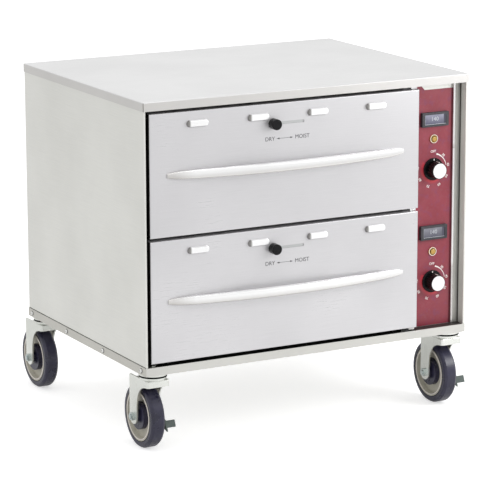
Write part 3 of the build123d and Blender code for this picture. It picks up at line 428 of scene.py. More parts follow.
def make_brushed(name, light, dark, smooth, rough, along, metallic=1.0, marks=0.1):
    """Sheet steel with its grain along one axis."""
    material, tree, shader, coords = start_material(name)
    streaks = stretch(tree, coords, STREAK_SCALES[along])
    grain = add_group(
        tree,
        "Brushed grain",
        {"Streaks": streaks, "Place": coords},
        {"Light": light, "Dark": dark, "Smooth": smooth, "Rough": rough},
    )
    dust = add_group(tree, "Handling marks", {"Place": coords}, {"Amount": marks})
    dulled = add_blend(tree, dust.outputs["Mask"], grain.outputs["Colour"], dark)
    tree.links.new(dulled, shader.inputs["Base Color"])
    tree.links.new(grain.outputs["Roughness"], shader.inputs["Roughness"])
    shader.inputs["Metallic"].default_value = metallic
    add_bump(tree, shader, grain.outputs["Height"], 0.12, 0.00004)
    return material


def make_moulded(name, light, dark, smooth, rough, bump=0.15, coat=0.0, marks=0.08, shine=0.5):
    """Plastic, rubber or paint with a fine moulded skin."""
    material, tree, shader, coords = start_material(name)
    skin = add_group(
        tree,
        "Moulded skin",
        {"Place": coords},
        {"Light": light, "Dark": dark, "Smooth": smooth, "Rough": rough},
    )
    dust = add_group(tree, "Handling marks", {"Place": coords}, {"Amount": marks})
    dusty = add_blend(tree, dust.outputs["Mask"], skin.outputs["Colour"], linear(150, 148, 144))
    tree.links.new(dusty, shader.inputs["Base Color"])
    tree.links.new(skin.outputs["Roughness"], shader.inputs["Roughness"])
    shader.inputs["Coat Weight"].default_value = coat
    shader.inputs["Specular IOR Level"].default_value = shine
    add_bump(tree, shader, skin.outputs["Height"], bump, 0.00005)
    return material


def make_case_steel():
    """Case sheet, with painted shade along its lip and left edge, and painted light on the strip beside the
    overlay.
    """
    material = make_brushed(
        "case_steel", linear(230, 230, 225), linear(218, 218, 213), 0.34, 0.46, "y", 0.5
    )
    low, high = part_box("base_pan")
    # Painted shade: the base lip and the case's left edge are darkened.
    darken_band(material, "Z", low.z, high.z - 0.4 * MM, 0.4 * MM, linear(239, 238, 238))
    darken_band(material, "X", low.x - MM, low.x + 0.4 * MM, 0.6 * MM, linear(240, 239, 236))
    panel_low, panel_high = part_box("control_panel")
    edge_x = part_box("control_overlay")[1].x
    tree = material.node_tree
    place = split_place(tree)
    # Painted light: the steel strip right of the overlay, shaded by the lid and the wall, is lightened.
    across = add_band(tree, place["X"], edge_x, panel_high.x, 0.5 * MM)
    near = add_band(tree, place["Y"], panel_low.y - MM, panel_low.y + MM, 0.5 * MM)
    blend_over(material, add_math(tree, "MULTIPLY", across, near), linear(255, 255, 248))


def make_lid_steel():
    """Lid sheet: plain top, painted shade on its folded lip, and a dark seam down its front left corner."""
    material = make_brushed(
        "lid_steel", linear(221, 221, 221), linear(211, 211, 211), 0.34, 0.46, "x", 0.5, 0.05
    )
    low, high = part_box("top_cover")
    # Painted shade: the folded lip below the top is darkened.
    darken_band(material, "Z", low.z, high.z - 2 * MM, 1 * MM, linear(244, 242, 239))
    tree = material.node_tree
    place = split_place(tree)
    along = add_band(tree, place["X"], low.x + 0.2 * MM, low.x + 1.1 * MM, 0.2 * MM)
    across = add_band(tree, place["Y"], low.y + 0.2 * MM, low.y + 1.1 * MM, 0.2 * MM)
    seam = add_math(tree, "MULTIPLY", along, across)
    blend_over(material, seam, linear(120, 118, 114))


def make_drawer_steel():
    """Drawer front sheet: painted highlight on the louvres, painted shade on their left ends, and painted shade on
    its left side in the gap.
    """
    material = make_brushed(
        "drawer_steel", linear(220, 219, 221), linear(206, 205, 207), 0.26, 0.38, "x", 0.5, 0.04
    )
    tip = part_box("upper_drawer_front")[0].y
    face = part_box("base_pan")[0].y
    tree = material.node_tree
    place = split_place(tree)
    # Painted highlight: the louvres standing out of the sheet are lightened.
    raised = add_band(tree, place["Y"], tip - MM, face - 1.2 * MM, 0.5 * MM)
    blend_over(material, raised, linear(252, 252, 252))
    low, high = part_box("upper_drawer_front")
    first = (low.x + high.x) / 2 - 1.5 * LOUVRE_PITCH - LOUVRE_LENGTH / 2
    along = add_math(tree, "MODULO", add_math(tree, "SUBTRACT", place["X"], first), LOUVRE_PITCH)
    # Painted shade: the left end of each louvre is darkened.
    louvre_end_shade = add_band(tree, along, 0.0, 5 * MM, 4 * MM)
    blend_over(material, add_math(tree, "MULTIPLY", raised, louvre_end_shade), linear(142, 140, 138))
    # Painted shade: the drawer's left side, seen through the gap, is darkened nearly to black.
    side = add_band(tree, place["X"], low.x - MM, low.x + 0.4 * MM, 0.3 * MM)
    behind = add_band(tree, place["Y"], face + 2.5 * MM, high.y + MM, 1 * MM)
    blend_over(material, add_math(tree, "MULTIPLY", side, behind), linear(30, 29, 28))


def make_handle_steel():
    """Polished handle, with painted shade towards its underside and on its left tip."""
    material = make_brushed(
        "handle_steel", linear(253, 253, 253), linear(243, 243, 243), 0.16, 0.26, "x", 0.6, 0.02
    )
    low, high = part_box("lower_handle")
    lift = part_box("upper_handle")[0].z - low.z
    tree = material.node_tree
    place = split_place(tree)
    height = add_math(tree, "MODULO", add_math(tree, "SUBTRACT", place["Z"], low.z), lift)
    tall = high.z - low.z
    # Painted shade: the underside of each handle is darkened.
    under = add_range(tree, height, 0.1 * tall, 0.6 * tall, 1.0, 0.0)
    blend_over(material, under, linear(216, 214, 211), "MULTIPLY")
    # Painted shade: the handle's left tip is darkened.
    darken_band(material, "X", low.x - MM, low.x + 12 * MM, 45 * MM, linear(226, 224, 222))


def make_overlay_red():
    """Printed overlay: blotched dark red, shaded side edges and a bright band per dial."""
    material = make_moulded(
        "overlay_red", linear(152, 60, 74), linear(142, 52, 66), 0.32, 0.42, 0.05
    )
    tree = material.node_tree
    place = split_place(tree)
    coords = tree.nodes["Texture Coordinate"].outputs["Object"]
    blotch = add_range(tree, add_noise(tree, coords, 60.0, 3.0), 0.52, 0.68, 0.0, 0.5)
    blend_over(material, blotch, linear(128, 62, 96))
    for level in LEVELS:
        centred = stretch(tree, coords, (1, 1, 1), centre=dial_place(level))
        band = add_group(tree, "Dial band", {"Place": centred}, {})
        blend_over(material, band.outputs["Mask"], linear(188, 58, 70))
    low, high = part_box("control_overlay")
    darken_band(material, "X", high.x - 5 * MM, high.x, 2 * MM, linear(206, 196, 200))
    edge = add_band(tree, place["X"], low.x, low.x + 1.6 * MM, 0.8 * MM)
    blend_over(material, edge, linear(70, 30, 38))


def make_window_grey():
    """Display window that darkens downwards, darker at the lower drawer's display."""
    material = make_moulded(
        "window_grey",
        linear(168, 168, 186),
        linear(134, 134, 153),
        0.12,
        0.2,
        bump=0.02,
        coat=0.4,
    )
    low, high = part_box("display_windows")
    tall = high.z - low.z - DIAL_LIFT
    tree = material.node_tree
    place = split_place(tree)
    height = add_math(tree, "SUBTRACT", place["Z"], low.z)
    lifted = add_math(tree, "MODULO", height, DIAL_LIFT)
    share = add_range(tree, lifted, 0.0, tall, 1.0, 0.0)
    blend_over(material, share, linear(158, 158, 172), "MULTIPLY")
    darken_band(material, "Z", low.z, low.z + tall, 1 * MM, linear(223, 223, 214))
    bar = add_band(tree, place["X"], high.x - 5 * MM, high.x, 1 * MM)
    blend_over(material, bar, linear(70, 68, 84))


def dial_place(level):
    """Centre of a dial in the shared frame."""
    return JOINTS[f"{level}_dial_turn"]["pos_m"]


def make_glass(name, colour, roughness):
    """Tinted clear lens."""
    _, tree, shader, coords = start_material(name)
    facets = add_noise(tree, coords, 420.0, 1.0)
    tinted = add_blend(tree, facets, colour, linear(250, 205, 120))
    tree.links.new(tinted, shader.inputs["Base Color"])
    shader.inputs["Roughness"].default_value = roughness
    shader.inputs["Transmission Weight"].default_value = 0.35
    add_bump(tree, shader, facets, 0.3, 0.0002)


def make_all_materials():
    """Every finish of the cabinet, one for each slot of the record."""
    make_grain_group()
    make_moulded_group()
    make_dust_group()
    make_dial_band_group()
    make_case_steel()
    make_lid_steel()
    make_drawer_steel()
    make_handle_steel()
    make_brushed("inner_steel", linear(200, 201, 201), linear(178, 180, 180), 0.3, 0.45, "x", 0.7)
    make_brushed(
        "pan_steel", linear(218, 218, 220), linear(202, 202, 204), 0.24, 0.36, "x", 0.7, 0.03
    )
    make_brushed("slide_zinc", linear(196, 200, 205), linear(172, 176, 182), 0.3, 0.5, "y", 0.8)
    make_brushed("lamp_metal", linear(252, 214, 150), linear(236, 188, 116), 0.14, 0.24, "x", 0.7)
    make_brushed("cap_silver", linear(252, 251, 252), linear(240, 240, 241), 0.3, 0.42, "x", 0.6)
    make_brushed("screw_steel", linear(232, 232, 230), linear(205, 205, 203), 0.18, 0.3, "x")
    make_brushed(
        "caster_zinc", linear(240, 241, 237), linear(200, 203, 196), 0.18, 0.36, "z", 0.85
    )
    make_brushed("axle_zinc", linear(214, 222, 220), linear(150, 160, 160), 0.16, 0.34, "x")
    make_brushed("element_sheath", linear(92, 88, 86), linear(64, 60, 58), 0.5, 0.7, "x", 0.7)
    make_moulded(
        "gasket_black", linear(18, 18, 17), linear(9, 9, 9), 0.7, 0.85, marks=0.02, shine=0.1
    )
    make_overlay_red()
    make_moulded("bezel_dark", linear(62, 62, 68), linear(44, 44, 50), 0.35, 0.5)
    make_window_grey()
    make_moulded(
        "knob_black", linear(20, 20, 22), linear(9, 9, 11), 0.22, 0.34, 0.1, marks=0.02, shine=0.2
    )
    make_moulded(
        "electric_white", linear(254, 246, 243), linear(246, 237, 234), 0.4, 0.55, marks=0.02
    )
    make_moulded("gland_black", linear(48, 48, 50), linear(34, 34, 36), 0.4, 0.55)
    make_moulded("core_cream", linear(204, 200, 186), linear(186, 182, 168), 0.42, 0.55)
    make_moulded("tyre_dark", linear(48, 46, 70), linear(32, 31, 52), 0.24, 0.38, marks=0.04)
    make_moulded("pedal_dark", linear(92, 104, 100), linear(62, 74, 70), 0.4, 0.6)
    make_glass("lamp_amber", linear(226, 178, 70), 0.18)


# ------------------------------------------------------------------ settings
class WarmerMarks(bpy.types.PropertyGroup):
    """Sizes of the lettering on the drawers and dials."""

    legend_drop: bpy.props.FloatProperty(
        name="Legend drop",
        description="Drawer top to the middle of the vent legend",
        default=72 * MM,
        unit="LENGTH",
        subtype="DISTANCE",
    )
    legend_size: bpy.props.FloatProperty(
        name="Legend size",
        description="Type size of the vent legend",
        default=11.5 * MM,
        unit="LENGTH",
        subtype="DISTANCE",
    )
    scale_radius: bpy.props.FloatProperty(
        name="Scale radius",
        description="Dial centre to the middle of its numbers",
        default=37 * MM,
        unit="LENGTH",
        subtype="DISTANCE",
    )
    number_size: bpy.props.FloatProperty(
        name="Number size",
        description="Type size of the numbers round a dial",
        default=7.4 * MM,
        unit="LENGTH",
        subtype="DISTANCE",
    )


class WarmerStudio(bpy.types.PropertyGroup):
    """Camera and light levels."""

    azimuth: bpy.props.FloatProperty(
        name="Azimuth",
        description="Angle of the view to the right of straight ahead",
        default=math.radians(28.37),
        subtype="ANGLE",
    )
    tilt: bpy.props.FloatProperty(
        name="Tilt",
        description="Angle of the view below level",
        default=math.radians(12.86),
        subtype="ANGLE",
    )
    lens: bpy.props.FloatProperty(
        name="Lens",
        description="Focal length on a 36 mm wide frame",
        default=192.0,
        unit="CAMERA",
    )
    roll: bpy.props.FloatProperty(
        name="Roll",
        description="Turn of the camera about its own line of sight",
        default=math.radians(-0.13),
        subtype="ANGLE",
    )
    place: bpy.props.FloatVectorProperty(
        name="Camera place",
        description="Where the camera stands",
        default=(-2.6167, -4.8834, 1.5837),
        unit="LENGTH",
        subtype="XYZ",
    )
    sky: bpy.props.FloatProperty(
        name="Sky level",
        description="Strength of the plain white surroundings",
        default=0.78,
        min=0.0,
    )
    key: bpy.props.FloatProperty(
        name="Key light",
        description="Power of the large lamp above and to the right",
        default=8.0,
        unit="POWER",
    )


# ------------------------------------------------------------------ operators
class WARMER_OT_finish(bpy.types.Operator):
    """Give every carried-over piece the finish of its slot"""

    bl_idname = "warmer.finish"
    bl_label = "Finish metal, plastic and rubber"

    def execute(self, context):
        make_all_materials()
        for name, piece in NODES.items():
            piece.data.materials.clear()
            piece.data.materials.append(bpy.data.materials[SLOTS[name]])
        return {"FINISHED"}


def make_arrow(left, right, height, face_y):
    """Thin double-headed arrow between two X positions on a drawer front."""
    middle = (left + right) / 2
    rest()
    bpy.ops.mesh.primitive_plane_add(size=1, location=(0, 0, 0))
    shaft = bpy.context.object
    shaft.scale = (right - left, 0.7 * MM, 1)
    shaft.rotation_euler = (math.pi / 2, 0, 0)
    shaft.location = (middle, face_y, height)
    bpy.ops.object.transform_apply(location=True, rotation=True, scale=True)
    heads = []
    for tip, side in ((left, 1), (right, -1)):
        bpy.ops.mesh.primitive_circle_add(vertices=3, radius=3 * MM, fill_type="NGON")
        head = bpy.context.object
        head.rotation_euler = (math.pi / 2, -side * math.pi / 2, 0)
        head.scale = (0.7, 1.4, 1)
        head.location = (tip + side * 1.5 * MM, face_y, height)
        bpy.ops.object.transform_apply(location=True, rotation=True, scale=True)
        heads.append(head)
    return [shaft, *heads]


# Vent legend: its words and its arrow, in mm from the left edge of a drawer front
LEGEND_WORDS = (("DRY", 255, 279), ("MOIST", 322, 359.5))
LEGEND_ARROW = (285, 317)
LINER_INSET = 1.35 * MM


class WARMER_OT_legends(bpy.types.Operator):
    """Letter the dry and moist ends of both vent sliders"""

    bl_idname = "warmer.legends"
    bl_label = "Vent legends"

    def execute(self, context):
        marks = context.scene.warmer_marks
        for level in LEVELS:
            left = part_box(f"{level}_front_liner")[0].x - LINER_INSET
            face_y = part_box("base_pan")[0].y - PRINT_LIFT
            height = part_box(f"{level}_drawer_front")[1].z - marks.legend_drop
            words = []
            for text, start, end in LEGEND_WORDS:
                place = (left + (start + end) / 2 * MM, face_y, height)
                words.append(lettering(text, marks.legend_size, place))
            tail, tip = (left + distance * MM for distance in LEGEND_ARROW)
            arrow = make_arrow(tail, tip, height, face_y)
            settle(f"{level}_vent_legend", f"{level}_drawer", "bezel_dark", *words, *arrow)
        return {"FINISHED"}


# Numbers of a dial, in degrees from the top
DIAL_LABELS = (
    ("OFF", 0),
    ("30", 42),
    ("40", 80),
    ("50", 118),
    ("60", 156),
    ("70", 198),
    ("80", 238),
    ("90", 276),
)
ARC_START, ARC_END = 14, 80  # degrees from the top
ARC_INSET = 4.8 * MM  # inside the circle of the numbers
ARC_WIDE, ARC_NARROW = 3.4 * MM, 1.2 * MM
ARC_STEPS = 24


def make_scale_arc(centre, radius, start, end, wide, narrow):
    """Printed arc that thins from its start to its end, both in degrees from the top."""
    rest()
    span = math.radians(end - start) / ARC_STEPS
    bpy.ops.mesh.primitive_plane_add(size=1, location=(0, 0, 0))
    arc = bpy.context.object
    arc.scale = (0.02 * MM, wide, 1)
    bpy.ops.object.transform_apply(location=True, rotation=True, scale=True)
    bpy.ops.transform.translate(value=(0, radius, 0))
    bpy.ops.object.transform_apply(location=True, rotation=True, scale=True)
    edit(arc)
    bpy.ops.mesh.select_all(action="DESELECT")
    bpy.ops.object.mode_set(mode="OBJECT")
    for vertex in arc.data.vertices:
        vertex.select = vertex.co.x > 0
    for edge in arc.data.edges:
        edge.select = all(arc.data.vertices[index].select for index in edge.vertices)
    bpy.ops.object.mode_set(mode="EDIT")
    thinning = (narrow / wide) ** (1 / ARC_STEPS)
    for step in range(ARC_STEPS):
        bpy.ops.mesh.extrude_region_move()
        bpy.ops.transform.rotate(value=span, orient_axis="Z", center_override=(0, 0, 0))
        angle = (step + 1) * span
        middle = (radius * math.sin(angle), radius * math.cos(angle), 0)
        bpy.ops.transform.resize(value=(thinning, thinning, 1), center_override=middle)
    bpy.ops.object.mode_set(mode="OBJECT")
    arc.rotation_euler = (math.pi / 2, math.radians(start), 0)
    arc.location = centre
    bpy.ops.object.transform_apply(location=True, rotation=True, scale=True)
    return arc


class WARMER_OT_dial_scales(bpy.types.Operator):
    """Print the numbers and the warming arc round both dials"""

    bl_idname = "warmer.dial_scales"
    bl_label = "Dial scales"

    def execute(self, context):
        marks = context.scene.warmer_marks
        face_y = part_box("control_overlay")[0].y - PRINT_LIFT
        for level in LEVELS:
            centre_x, _, centre_z = dial_place(level)
            words = []
            for text, degrees in DIAL_LABELS:
                angle = math.radians(degrees)
                x = centre_x + marks.scale_radius * math.sin(angle)
                z = centre_z + marks.scale_radius * math.cos(angle)
                place = (x, face_y, z)
                words.append(lettering(text, marks.number_size, place, angle, weight=0.12 * MM))
            centre = (centre_x, face_y, centre_z)
            radius = marks.scale_radius - ARC_INSET
            arc = make_scale_arc(centre, radius, ARC_START, ARC_END, ARC_WIDE, ARC_NARROW)
            settle(f"{level}_dial_scale", "cabinet", "electric_white", *words, arc)
        return {"FINISHED"}


class WARMER_OT_dial_ticks(bpy.types.Operator):
    """Mark each dial's pointer on its skirt and on its grip"""

    bl_idname = "warmer.dial_ticks"
    bl_label = "Dial pointers"

    def execute(self, context):
        skirt_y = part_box("control_overlay")[0].y - 3.8 * MM
        front_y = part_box("upper_control_knob")[0].y
        for level in LEVELS:
            x, _, z = dial_place(level)
            skirt = beam(
                (x - 1 * MM, skirt_y - 0.15 * MM, z + 18.3 * MM),
                (x + 1 * MM, skirt_y + 0.2 * MM, z + 22.3 * MM),
                0.1 * MM,
            )
            grip = beam(
                (x - 0.8 * MM, front_y + 1.5 * MM, z + 16.6 * MM),
                (x + 0.8 * MM, front_y + 13 * MM, z + 18.1 * MM),
                0.2 * MM,
            )
            settle(f"{level}_dial_pointer", f"{level}_dial", "electric_white", skirt, grip)
        return {"FINISHED"}


class WARMER_OT_readouts(bpy.types.Operator):
    """Put faint digits in both display windows, with a bright line along their edge"""

    bl_idname = "warmer.readouts"
    bl_label = "Display readouts"

    def execute(self, context):
        low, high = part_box("display_windows")
        face_y = low.y - PRINT_LIFT
        tall = high.z - low.z - DIAL_LIFT
        line = 0.8 * MM
        for level, base in (("lower", low.z), ("upper", low.z + DIAL_LIFT)):
            place = (low.x + 24 * MM, face_y, base + tall * 0.55)
            digits = lettering("140", tall * 0.6, place)
            settle(f"{level}_digits", "cabinet", "slide_zinc", digits)
            left = beam((low.x, face_y, base), (low.x + line, low.y, base + tall), 0.02 * MM)
            foot = beam((low.x, face_y, base), (high.x, low.y, base + line), 0.02 * MM)
            settle(f"{level}_window_edge", "cabinet", "slide_zinc", left, foot)
        return {"FINISHED"}


class WARMER_OT_lamps(bpy.types.Operator):
    """Ring both indicator lamps with a dark ring of painted shade in the gap round the lens, and a bright rim"""

    bl_idname = "warmer.lamps"
    bl_label = "Indicator rings"

    def execute(self, context):
        low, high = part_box("lamp_bezels")
        radius = (high.x - low.x) / 2
        proud = -0.25 * MM
        gap_shades, rims = [], []
        for base in (low.z, low.z + DIAL_LIFT):
            centre = (low.x + radius, low.y, base + radius)
            # Painted shade: a dark ring stands in the gap round the lens, where shade falls.
            shade_inner, shade_outer = radius - 3 * MM, radius - 1.8 * MM
            gap_shades.append(flat_ring(centre, "y", shade_inner, shade_outer, proud, 48))
            rims.append(flat_ring(centre, "y", radius - 0.9 * MM, radius, proud, 48))
        settle("lamp_seals", "cabinet", "gasket_black", *gap_shades)
        settle("lamp_rims", "cabinet", "handle_steel", *rims)
        return {"FINISHED"}


class WARMER_OT_trim(bpy.types.Operator):
    """Add the stops in the drawer gaps, the sill, the side strip with a dark strip of painted shade in its corner,
    and dark strips of painted shade along the lip
    """

    bl_idname = "warmer.trim"
    bl_label = "Case trim"

    def execute(self, context):
        self.add_stops()
        self.add_control_trim()
        self.add_lip_shade_strips()
        return {"FINISHED"}

    def add_stops(self):
        """Three small steel stops at the right end of the gaps round the drawers."""
        upper_low, upper_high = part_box("upper_drawer_front")
        lower_low, lower_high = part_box("lower_drawer_front")
        lid_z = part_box("top_cover")[0].z
        lip_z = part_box("base_pan")[1].z
        front_y = upper_low.y + 14 * MM
        back_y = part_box("front_frame")[0].y
        gaps = ((upper_high.z, lid_z), (lower_high.z, upper_low.z), (lip_z, lower_low.z))
        length, gap = 14 * MM, 1 * MM
        right_x = upper_high.x - gap
        stops = [
            beam(
                (right_x - length, front_y, bottom + gap),
                (right_x, back_y, top - gap),
                0.4 * MM,
            )
            for bottom, top in gaps
        ]
        settle("drawer_gap_stops", "cabinet", "handle_steel", *stops)

    def add_control_trim(self):
        """Dark sill under the control panel; rib, dark strip of painted shade in the inner corner, and wall liner
        at its right.
        """
        low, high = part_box("control_panel")
        overlay_low, overlay_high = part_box("control_overlay")
        wall_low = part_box("right_side_panel")[0]
        lip_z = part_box("base_pan")[1].z
        sill = beam(
            (low.x + 0.3 * MM, wall_low.y + 0.2 * MM, lip_z - 1.4 * MM),
            (high.x, low.y, lip_z - 0.1 * MM),
            0.3 * MM,
        )
        settle("control_sill", "cabinet", "element_sheath", sill)
        rib = beam(
            (overlay_high.x - 2.2 * MM, overlay_low.y - 5 * MM, overlay_low.z),
            (overlay_high.x + 2.2 * MM, low.y, overlay_high.z),
            0.6 * MM,
        )
        settle("overlay_rib", "cabinet", "handle_steel", rib)
        # Painted shade: a dark strip stands in the inner corner between the panel and the right wall, where shade
        # falls.
        corner = beam(
            (high.x - 2.4 * MM, low.y - 1.2 * MM, overlay_low.z),
            (high.x, low.y, overlay_high.z),
            0.3 * MM,
        )
        settle("corner_bead", "cabinet", "element_sheath", corner)
        liner = beam(
            (high.x - 0.6 * MM, wall_low.y + 2 * MM, overlay_low.z),
            (high.x, low.y - 1.4 * MM, overlay_high.z),
            0.2 * MM,
        )
        settle("wall_liner", "cabinet", "case_steel", liner)

    def add_lip_shade_strips(self):
        """Dark strips on top of the base lip, along the sides and the back: painted shade where the walls meet the
        lip.
        """
        left_low, left_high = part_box("left_side_panel")
        right_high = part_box("right_side_panel")[1]
        back_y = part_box("back_panel")[1].y
        lip_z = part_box("base_pan")[1].z
        proud, tall = 0.35 * MM, 1 * MM
        spans = (
            ((left_low.x - proud, left_low.y), (left_low.x + proud, left_high.y)),
            ((right_high.x - proud, left_low.y), (right_high.x + proud, left_high.y)),
            ((left_low.x, back_y - proud), (right_high.x, back_y + proud)),
        )
        # Painted shade: dark strips stand where the walls meet the base lip, where shade falls in the gap.
        shade_strips = [
            beam((*start, lip_z), (*end, lip_z + tall), 0.15 * MM) for start, end in spans
        ]
        settle("lip_beads", "cabinet", "gasket_black", *shade_strips)


class WARMER_OT_screws(bpy.types.Operator):
    """Put a dark ring of painted shade round every screw along the base lip, and a cross recess drawn as a black
    mark of painted shade
    """

    bl_idname = "warmer.screws"
    bl_label = "Lip screws"

    def execute(self, context):
        low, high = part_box("base_pan")
        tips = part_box("case_fasteners")
        height = (low.z + high.z) / 2
        pitch = (high.y - low.y - 2 * LIP_SCREW_INSET) / (LIP_SCREW_COUNT - 1)
        slot_long, slot_wide, depth = 2.6 * MM, 0.6 * MM, 0.1 * MM
        shade_rings, slots = [], []
        for side, face_x, tip_x in ((-1, low.x, tips[0].x), (1, high.x, tips[1].x)):
            for index in range(LIP_SCREW_COUNT):
                y = low.y + LIP_SCREW_INSET + index * pitch
                proud = side * 0.5 * MM
                # Painted shade: a dark ring round each screw head, where shade falls on the lip.
                rows = ((0, 3.6 * MM), (0, 5.2 * MM), (proud, 5 * MM), (proud, 3.8 * MM))
                shade_rings.append(turned((face_x, y, height), "x", rows, 24))
                # The cross recess is real; its black is painted shade in the recess.
                for wide, tall in ((slot_long, slot_wide), (slot_wide, slot_long)):
                    corner = (tip_x - depth, y - wide / 2, height - tall / 2)
                    far = (tip_x + depth, y + wide / 2, height + tall / 2)
                    slots.append(beam(corner, far, 0.03 * MM))
        settle("lip_screw_washers", "cabinet", "bezel_dark", *shade_rings)
        settle("lip_screw_slots", "cabinet", "gasket_black", *slots)
        return {"FINISHED"}


class WARMER_OT_casters(bpy.types.Operator):
    """Add the dark rings of painted shade in the race grooves, the tyre joint lines and the painted highlight
    lines inside the rims of the four casters
    """

    bl_idname = "warmer.casters"
    bl_label = "Caster details"

    def execute(self, context):
        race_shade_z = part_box("front_left_fork")[1].z + 0.1 * MM
        for corner in CORNERS:
            x, y, _ = JOINTS[f"{corner}_swivel_turn"]["pos_m"]
            # Painted shade: a dark ring fills the race groove, where shade falls.
            rows = ((0, 23 * MM), (0, 28.4 * MM), (3 * MM, 28.4 * MM), (3.7 * MM, 23 * MM))
            race_shade = turned((x, y, race_shade_z), "z", rows)
            settle(f"{corner}_race_seal", "cabinet", "gasket_black", race_shade)
            self.add_wheel_lines(corner)
        return {"FINISHED"}

    def add_wheel_lines(self, corner):
        """Dark joint line between core and tyre, and a painted highlight line inside the rim."""
        low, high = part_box(f"{corner}_wheel_core")
        centre_y, centre_z = (low.y + high.y) / 2, (low.z + high.z) / 2
        rim = (high.z - low.z) / 2
        dark, bright = [], []
        for side, face_x in ((-1, low.x), (1, high.x)):
            centre = (face_x, centre_y, centre_z)
            proud = side * 0.25 * MM
            joint = (
                (0, rim - 0.6 * MM),
                (proud, rim - 0.4 * MM),
                (proud, rim + 0.5 * MM),
                (0, rim + 0.7 * MM),
            )
            dark.append(turned(centre, "x", joint))
            # Painted highlight: a bright line inside the rim.
            edge = rim - 5 * MM
            lip = (
                (0, edge - 0.1 * MM),
                (proud, edge),
                (proud, edge + 1.4 * MM),
                (0, edge + 1.5 * MM),
            )
            bright.append(turned(centre, "x", lip))
        settle(f"{corner}_tyre_joint", f"{corner}_wheel", "gasket_black", *dark)
        settle(f"{corner}_rim_edge", f"{corner}_wheel", "electric_white", *bright)


class WARMER_OT_studio(bpy.types.Operator):
    """Set the floor, the plain surroundings, the lamps and the camera"""

    bl_idname = "warmer.studio"
    bl_label = "Studio"

    def execute(self, context):
        studio = context.scene.warmer_studio
        make_floor()
        make_sky(context.scene, studio.sky)
        make_lamps(studio.key)
        make_camera(context.scene, studio)
        context.scene.view_settings.view_transform = "Standard"
        return {"FINISHED"}


def add_seen(tree, rays):
    """One where the camera sees a surface directly, in a reflection or through glass."""
    seen = add_math(tree, "MAXIMUM", rays.outputs["Is Camera Ray"], rays.outputs["Is Glossy Ray"])
    return add_math(tree, "MAXIMUM", seen, rays.outputs["Is Transmission Ray"])


def make_floor():
    """Pale floor that keeps a soft shadow and fades into the white surroundings."""
    rest()
    bpy.ops.mesh.primitive_plane_add(size=FLOOR_SIZE, location=(0, 0, 0))
    floor = bpy.context.object
    floor.name = "studio_floor"
    material = bpy.data.materials.new("studio_floor")
    material.use_nodes = True
    tree = material.node_tree
    shader = tree.nodes["Principled BSDF"]
    shader.inputs["Base Color"].default_value = linear(232, 232, 232)
    shader.inputs["Roughness"].default_value = 0.9
    shader.inputs["Specular IOR Level"].default_value = 0.0
    shader.inputs["Emission Color"].default_value = (1, 1, 1, 1)
    rays = tree.nodes.new("ShaderNodeLightPath")
    mirrored = add_math(tree, "MULTIPLY", add_seen(tree, rays), 0.25)
    direct = add_math(tree, "MULTIPLY", rays.outputs["Is Camera Ray"], 0.32)
    glow = add_math(tree, "ADD", mirrored, direct)
    tree.links.new(glow, shader.inputs["Emission Strength"])
    floor.data.materials.append(material)
    rest()


def make_sky(scene, level):
    """White surroundings, a little darker below the horizon for shape."""
    world = bpy.data.worlds.new("studio_sky")
    world.use_nodes = True
    scene.world = world
    tree = world.node_tree
    background = tree.nodes["Background"]
    background.inputs["Color"].default_value = (1, 1, 1, 1)
    coords = tree.nodes.new("ShaderNodeTexCoord")
    split = tree.nodes.new("ShaderNodeSeparateXYZ")
    tree.links.new(coords.outputs["Generated"], split.inputs["Vector"])
    shade = add_range(tree, split.outputs["Z"], -0.2, 0.8, level * 0.75, level * 1.1)
    rays = tree.nodes.new("ShaderNodeLightPath")
    strength = add_blend(tree, add_seen(tree, rays), shade, (1, 1, 1, 1))
    tree.links.new(strength, background.inputs["Strength"])


def make_lamps(power):
    """Large soft lamps: one over the floor at the right front, one overhead."""
    rows = (
        ("key_lamp", (1.05, -1.25, 0.95), (0.3, -0.31, 0.5), 0.6, power),
        ("top_lamp", (0.0, 0.0, 2.6), (0.0, 0.0, 0.7), 1.2, power * 1.5),
    )
    for name, place, target, size, watts in rows:
        lamp = bpy.data.lights.new(name, "AREA")
        lamp.energy = watts
        lamp.shape = "SQUARE"
        lamp.size = size
        holder = bpy.data.objects.new(name, lamp)
        holder.location = place
        aim = Vector(target) - Vector(place)
        holder.rotation_euler = aim.to_track_quat("-Z", "Y").to_euler()
        bpy.context.scene.collection.objects.link(holder)


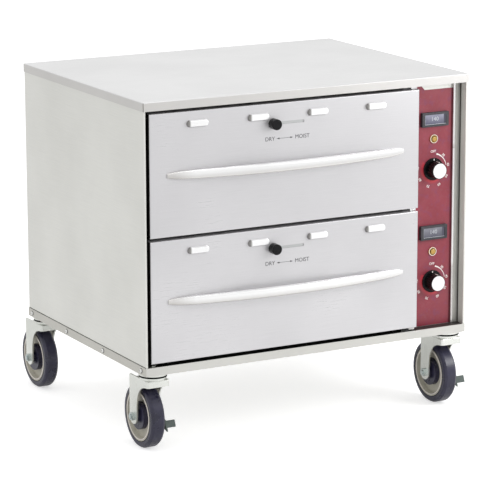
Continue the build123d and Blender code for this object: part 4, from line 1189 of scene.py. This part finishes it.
def make_camera(scene, studio):
    """Camera at the photograph's angle."""
    camera = bpy.data.cameras.new("photo_camera")
    camera.lens = studio.lens
    camera.sensor_width = SENSOR_WIDTH
    camera.clip_end = 100
    holder = bpy.data.objects.new("photo_camera", camera)
    holder.location = studio.place
    level = math.cos(studio.tilt)
    ahead = Vector(
        (
            math.sin(studio.azimuth) * level,
            math.cos(studio.azimuth) * level,
            -math.sin(studio.tilt),
        )
    )
    turn = ahead.to_track_quat("-Z", "Y") @ Quaternion((0, 0, 1), studio.roll)
    holder.rotation_euler = turn.to_euler()
    scene.collection.objects.link(holder)
    scene.camera = holder


class WARMER_PT_panel(bpy.types.Panel):
    """Shows the settings and the operator buttons of the warming cabinet"""

    bl_label = "Warming cabinet"
    bl_space_type = "VIEW_3D"
    bl_region_type = "UI"
    bl_category = "Warmer"

    def draw(self, context):
        for group in (context.scene.warmer_marks, context.scene.warmer_studio):
            box = self.layout.box()
            for name in group.__annotations__:
                box.prop(group, name)
        for operator in OPERATORS:
            self.layout.operator(operator.bl_idname)


OPERATORS = (
    WARMER_OT_finish,
    WARMER_OT_legends,
    WARMER_OT_dial_scales,
    WARMER_OT_dial_ticks,
    WARMER_OT_readouts,
    WARMER_OT_lamps,
    WARMER_OT_trim,
    WARMER_OT_screws,
    WARMER_OT_casters,
    WARMER_OT_studio,
)
CLASSES = (WarmerMarks, WarmerStudio, *OPERATORS, WARMER_PT_panel)


def register():
    """Register the classes and hang the settings on the scene."""
    for item in CLASSES:
        bpy.utils.register_class(item)
    bpy.types.Scene.warmer_marks = bpy.props.PointerProperty(type=WarmerMarks)
    bpy.types.Scene.warmer_studio = bpy.props.PointerProperty(type=WarmerStudio)


def unregister():
    """Take the settings and classes away again."""
    del bpy.types.Scene.warmer_studio
    del bpy.types.Scene.warmer_marks
    for item in reversed(CLASSES):
        bpy.utils.unregister_class(item)


def main():
    """Run every operator in order."""
    register()
    bpy.ops.warmer.finish()
    bpy.ops.warmer.legends()
    bpy.ops.warmer.dial_scales()
    bpy.ops.warmer.dial_ticks()
    bpy.ops.warmer.readouts()
    bpy.ops.warmer.lamps()
    bpy.ops.warmer.trim()
    bpy.ops.warmer.screws()
    bpy.ops.warmer.casters()
    bpy.ops.warmer.studio()


if __name__ == "__main__":
    main()
